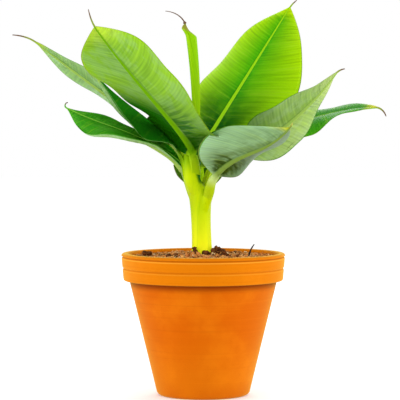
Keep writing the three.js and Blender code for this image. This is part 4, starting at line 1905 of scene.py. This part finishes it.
# The open leaves, from the outermost sheath inwards.
LEAVES = (
    LeafForm(
        node="leaf_front_right", slot=Slot.UNDER,
        finish=LeafFinish(
            "front_right_leaf", DEEP, POWDERY, stalk=srgb(210, 232, 142), sheath=srgb(184, 208, 16),
            shade=srgb(50, 70, 10), shaded=(0.0, 0.52), crease_shade=0.9, base_reach=0.5, tip_from=0.9,
            thread=srgb(196, 190, 96),
        ),
        course=Course(
            reach=12.7, foot_height=188, heading=-52.8, swing=3, rise=(68.7, 37.5, 39.6), sag=23.3,
            stalk=16.8, blade=113.6, roll=(-24.7, -9.6), thread=4, thread_rise=20, root_rise=74,
        ),
        stalk_half_width=5, half_width=37, fold=(0.7, 36.9), widest=0.787, power=(0.613, 1.508),
        lean=-1.028, lean_ease=0.65, lean_power=1.5, wave=-3, waves=1.18, phase=-0.852, pleat=0.5,
        rib=(2.9, 0.4), neck=3.6,
    ),
    LeafForm(
        node="leaf_low_left", slot=Slot.UPPER,
        finish=LeafFinish(
            "low_left_leaf", DEEP, WAXY, stalk=srgb(160, 184, 110), margin=srgb(110, 190, 60),
            gloss=0.0,
        ),
        course=Course(
            reach=7.5, foot_height=188, heading=160.9, swing=-23.7, rise=(72, 30.3, 22), sag=9.6,
            stalk=45.8, blade=117.3, roll=(13.2, -33.9), thread=6, thread_rise=150, thread_turn=20,
            root_rise=81,
        ),
        stalk_half_width=5, half_width=38, fold=(11.4, 8.5), cup=-40.2, widest=0.43,
        power=(0.9, 1.4), lean=0.011, wave=-1.55, waves=2.4, phase=-0.02,
        hem=Hem(1, 0.15, 65, 0.85, 0.5), near_lobe=Lobe(11, 20, 0.26, 0.2), early=27,
    ),
    LeafForm(
        node="leaf_back", slot=Slot.UPPER,
        finish=LeafFinish("back_leaf", SHADOWED_OLIVE, SHADOWED_OLIVE, gloss=0.0),
        course=Course(
            reach=9, foot_height=188, heading=90, swing=0, rise=(62, 27, -65), stalk=28, blade=104,
            thread=8, thread_rise=20, root_rise=80,
        ),
        stalk_half_width=4.5, half_width=26.5, fold=(12, 5), cup=-40, widest=0.42,
        power=(0.5, 0.8), lean=0.2, wave=1, waves=2.5, phase=0.1,
    ),
    LeafForm(
        node="leaf_mid_right", slot=Slot.UNDER,
        finish=LeafFinish(
            "mid_right_leaf", DEEP, GLOWING, stalk=srgb(120, 180, 40), shade=srgb(64, 124, 20),
            shaded=(0.25, 0.0), base_shaded=(0.2, 0.3), crease_shade=0.3, base_reach=0.25,
            tip_from=0.68, veins=1.4,
        ),
        course=Course(
            reach=7, foot_height=190, heading=-13, swing=25, rise=(60, 28, 53), stalk=43,
            blade=117, roll=(-39, -22), thread=9, thread_rise=-45,
        ),
        stalk_half_width=4, half_width=40, fold=(13, 15), cup=-26, widest=0.37,
        power=(0.77, 0.71), wave=-1.2, waves=2.6, phase=-0.13,
    ),
    LeafForm(
        node="leaf_far_right", slot=Slot.UPPER,
        finish=LeafFinish("far_right_leaf", FRESH, FRESH),
        course=Course(
            reach=6, foot_height=195, heading=33.5, swing=-45.7, rise=(67, 17.1, 3.5), sag=-6,
            stalk=53.3, blade=140.7, roll=(22.1, 10.1), thread=13, thread_rise=-75,
        ),
        stalk_half_width=4, half_width=34, fold=(-2.9, 25.6), cup=-34.6, widest=0.366,
        power=(0.523, 0.634), lean=-0.225, wave=3, waves=2.7, phase=-0.17,
    ),
    LeafForm(
        node="leaf_folded_left", slot=Slot.UPPER,
        finish=LeafFinish(
            "folded_left_leaf", SHADOWED_GREEN, WAXY, stalk=srgb(140, 190, 22), sheath=srgb(172, 208, 14),
            margin=srgb(150, 206, 110), shade=srgb(28, 108, 18), shaded=(0.0, 0.7), gloss=0.0,
        ),
        course=Course(
            reach=5, foot_height=203, heading=180.7, swing=6.3, rise=(79, 50.9, 47.5), sag=12.2,
            stalk=26.6, blade=98.5, roll=(-7.7, 3.3), thread=8,
        ),
        stalk_half_width=4.2, half_width=28.6, fold=(-28.9, -0.3), cup=-36.6, widest=0.494,
        power=(2.1, 0.8), lean=-0.206, wave=0.5, waves=2.5, phase=0.07, early=7,
        hem=Hem(1, 0.07, 95, 0.1, 0.8),
    ),
    LeafForm(
        node="leaf_tall_left", slot=Slot.SUNLIT_UNDER,
        finish=LeafFinish(
            "tall_left_leaf", SUNLIT_UPPER, SUNLIT_UNDER, stalk=srgb(166, 206, 16),
            # lobe: painted shade on the bent base lobe
            sheath=srgb(176, 210, 8), lobe=srgb(12, 122, 8), lobe_shade_share=0.95,
            shade=srgb(20, 92, 0), shaded=(0.22, 0.0), base_shaded=(1.0, 0.6), shade_reach=0.58,
            crease_shade=0.9, base_reach=0.24, tip_from=0.84, veins=1.1,
        ),
        course=Course(
            reach=1, foot_height=204, heading=253.5, swing=-56, rise=(90, 25.5, 54), stalk=33,
            blade=163, roll=(-29, 23.5), thread=16, thread_rise=20, thread_turn=25, root=24,
            root_rise=86,
        ),
        stalk_half_width=6, half_width=52.5, fold=(13.5, 8.5), cup=-21, widest=0.68,
        power=(0.25, 0.77), lean=0.32, wave=1.6, waves=2.8, phase=-0.1, rib=(3.1, 0.6), neck=3.6,
        pleat=0.7, near_lobe=Lobe(4, -4, 0.085, 0.03), far_lobe=Lobe(-4, 26, 0.22, 0.22), early=15,
    ),
    LeafForm(
        node="leaf_far_left", slot=Slot.UNDER, finish=LeafFinish("far_left_leaf", DEEP, WAXY),
        course=Course(
            reach=3, foot_height=210, heading=147, swing=35, rise=(60, 32, 37.5), stalk=30,
            blade=163, roll=(21, 22), thread=22, thread_rise=-35, root=20, root_rise=75,
        ),
        stalk_half_width=4, half_width=35, fold=(13, 14), cup=-29, widest=0.45,
        power=(0.8, 0.92), lean=-0.09, wave=2.3, waves=2.1, phase=-0.07,
    ),
    LeafForm(
        node="leaf_tall_right", slot=Slot.SUNLIT_UPPER,
        finish=LeafFinish(
            "tall_right_leaf", SUNLIT_UPPER, SUNLIT_UNDER, stalk=srgb(60, 140, 4),
            sheath=srgb(30, 110, 2), margin=srgb(140, 150, 30), shaded=(0.1, 0.0), base_reach=0.5,
            veins=0.9, light=0.15,
        ),
        course=Course(
            reach=3, foot_height=210, heading=49, swing=-9.5, rise=(60, 46, 51), stalk=27,
            blade=169, roll=(14, 21), thread=11, thread_rise=-20, root=18, root_rise=88,
        ),
        stalk_half_width=4.5, half_width=51, fold=(6, 12), cup=-42, widest=0.4,
        power=(0.5, 0.88), lean=0.24, wave=-6.4, waves=1.6, phase=-0.62,
    ),
)
SPEAR = RollForm(
    course=Course(
        reach=0, foot_height=212, heading=180, swing=0, rise=(102, 90, 82), stalk=40, blade=88,
        thread=28, thread_rise=-78, root=14, root_rise=75,
    ),
    foot_radius=3.3, top_radius=5.3, slant=9, shoulder=4, thread_radius=0.7, flatness=0.78,
    winding=0.16, seam=0.66, twist=0.34,
)


@dataclass
class Crown:
    """The leaves, and the stem that they all rise from."""

    stem: Stem
    seed_step: float = 7.3

    def build(self) -> None:
        """Grows the open leaves and the rolled one, then the stem round their stalks."""
        rule, sleeves = BladeRule("blade_rule"), []
        for number, form in enumerate(LEAVES):
            sizes = form.sizes(self.stem, number * self.seed_step)
            leaf = rule.grow(form.node, form.slot, form.finish.make(), sizes)
            sleeves.append(self.stem.sleeve(leaf, form.course))
        sizes = {**SPEAR.course.sizes(self.stem), **inputs_of(SPEAR)}
        rule = RollRule("roll_rule")
        rolled = rule.grow("spear_leaf", Slot.ROLLED, RolledFinish().make(), sizes)
        sleeves.append(self.stem.sleeve(rolled, SPEAR.course))
        self.stem.build(sleeves)


# --- Studio ------------------------------------------------------------------------------------


@dataclass
class Studio:
    """A white floor and sky, soft lights and the camera."""

    camera_place: Place = (-0.003, -2.0, 0.266)
    aim: Place = (-0.003, 0.0, 0.1785)
    light_aim: Place = (0.0, 0.0, 0.2)
    lens: float = 197.0
    sky_light: float = 0.95
    floor_half: float = 6000.0
    # Each soft light's name, place, size and power.
    softboxes: tuple[tuple[str, Place, float, float], ...] = (
        ("left_softbox", (-1.5, -0.3, 0.4), 0.9, 8.0),
        ("right_softbox", (1.5, -0.2, 0.45), 0.9, 8.0),
        ("front_softbox", (0.3, -2.2, 0.7), 1.2, 7.0),
        ("back_softbox", (0.2, 1.3, 1.1), 1.0, 10.0),
    )

    @staticmethod
    def face(name: str, data: Any, place: Place, aim: Place) -> Object:
        """Puts a camera or a light at a place, turned to a point.

        Args:
            name: Its name.
            data: The camera or light.
            place: Where it stands.
            aim: The point that it faces.

        Returns:
            The object.
        """
        made = stand(name, data)
        made.location = place
        made.rotation_euler = (Vector(aim) - Vector(place)).to_track_quat("-Z", "Y").to_euler()
        return made

    def sky(self) -> bpy.types.World:
        """A sky that is white to the camera and a little darker as a light.

        Returns:
            The world.
        """
        world = bpy.data.worlds.new("white_room")
        world.use_nodes = True
        tree = Tree(world.node_tree)
        seen = tree.output(tree.node("ShaderNodeLightPath"), "Is Camera Ray")
        sky = world.node_tree.nodes["Background"]
        sky.inputs["Color"].default_value = (1, 1, 1, 1)
        tree.feed(sky.inputs["Strength"], tree.between(self.sky_light, 1.0, seen))
        return world

    def floor(self) -> Object:
        """A plain white floor.

        Returns:
            The floor, which is no part of the plant.
        """
        half = self.floor_half
        corners = [(-half, -half, 0), (half, -half, 0), (half, half, 0), (-half, half, 0)]
        floor = stand("white_floor", mesh_of("white_floor", corners, [(0, 1, 2, 3)]))
        floor.data.materials.append(Shading("white_paper").finish(
            Base_Color=(0.85, 0.85, 0.85, 1.0), Roughness=0.9, Specular_IOR_Level=0.1,
            Emission_Color=(1.0, 1.0, 1.0, 1.0), Emission_Strength=0.2,
        ))
        return floor

    def build(self) -> None:
        """Sets the stage."""
        scene = bpy.context.scene
        camera = bpy.data.cameras.new("front_camera")
        camera.lens, camera.clip_end = self.lens, 20.0
        scene.camera = self.face("front_camera", camera, self.camera_place, self.aim)
        scene.view_settings.view_transform = "Standard"
        scene.world = self.sky()
        for name, place, size, power in self.softboxes:
            light = bpy.data.lights.new(name, "AREA")
            light.shape, light.size, light.energy = "SQUARE", size, power
            self.face(name, light, place, self.light_aim)
        floor = self.floor()


def main() -> None:
    """Builds the plant, then the studio round it."""
    logging.basicConfig(level=logging.INFO, format="%(name)s: %(message)s")
    pot = Pot()
    pot.build()
    Soil().build(pot)
    Twig().build()
    Crown(Stem()).build()
    Studio().build()


if __name__ == "__main__":
    main()
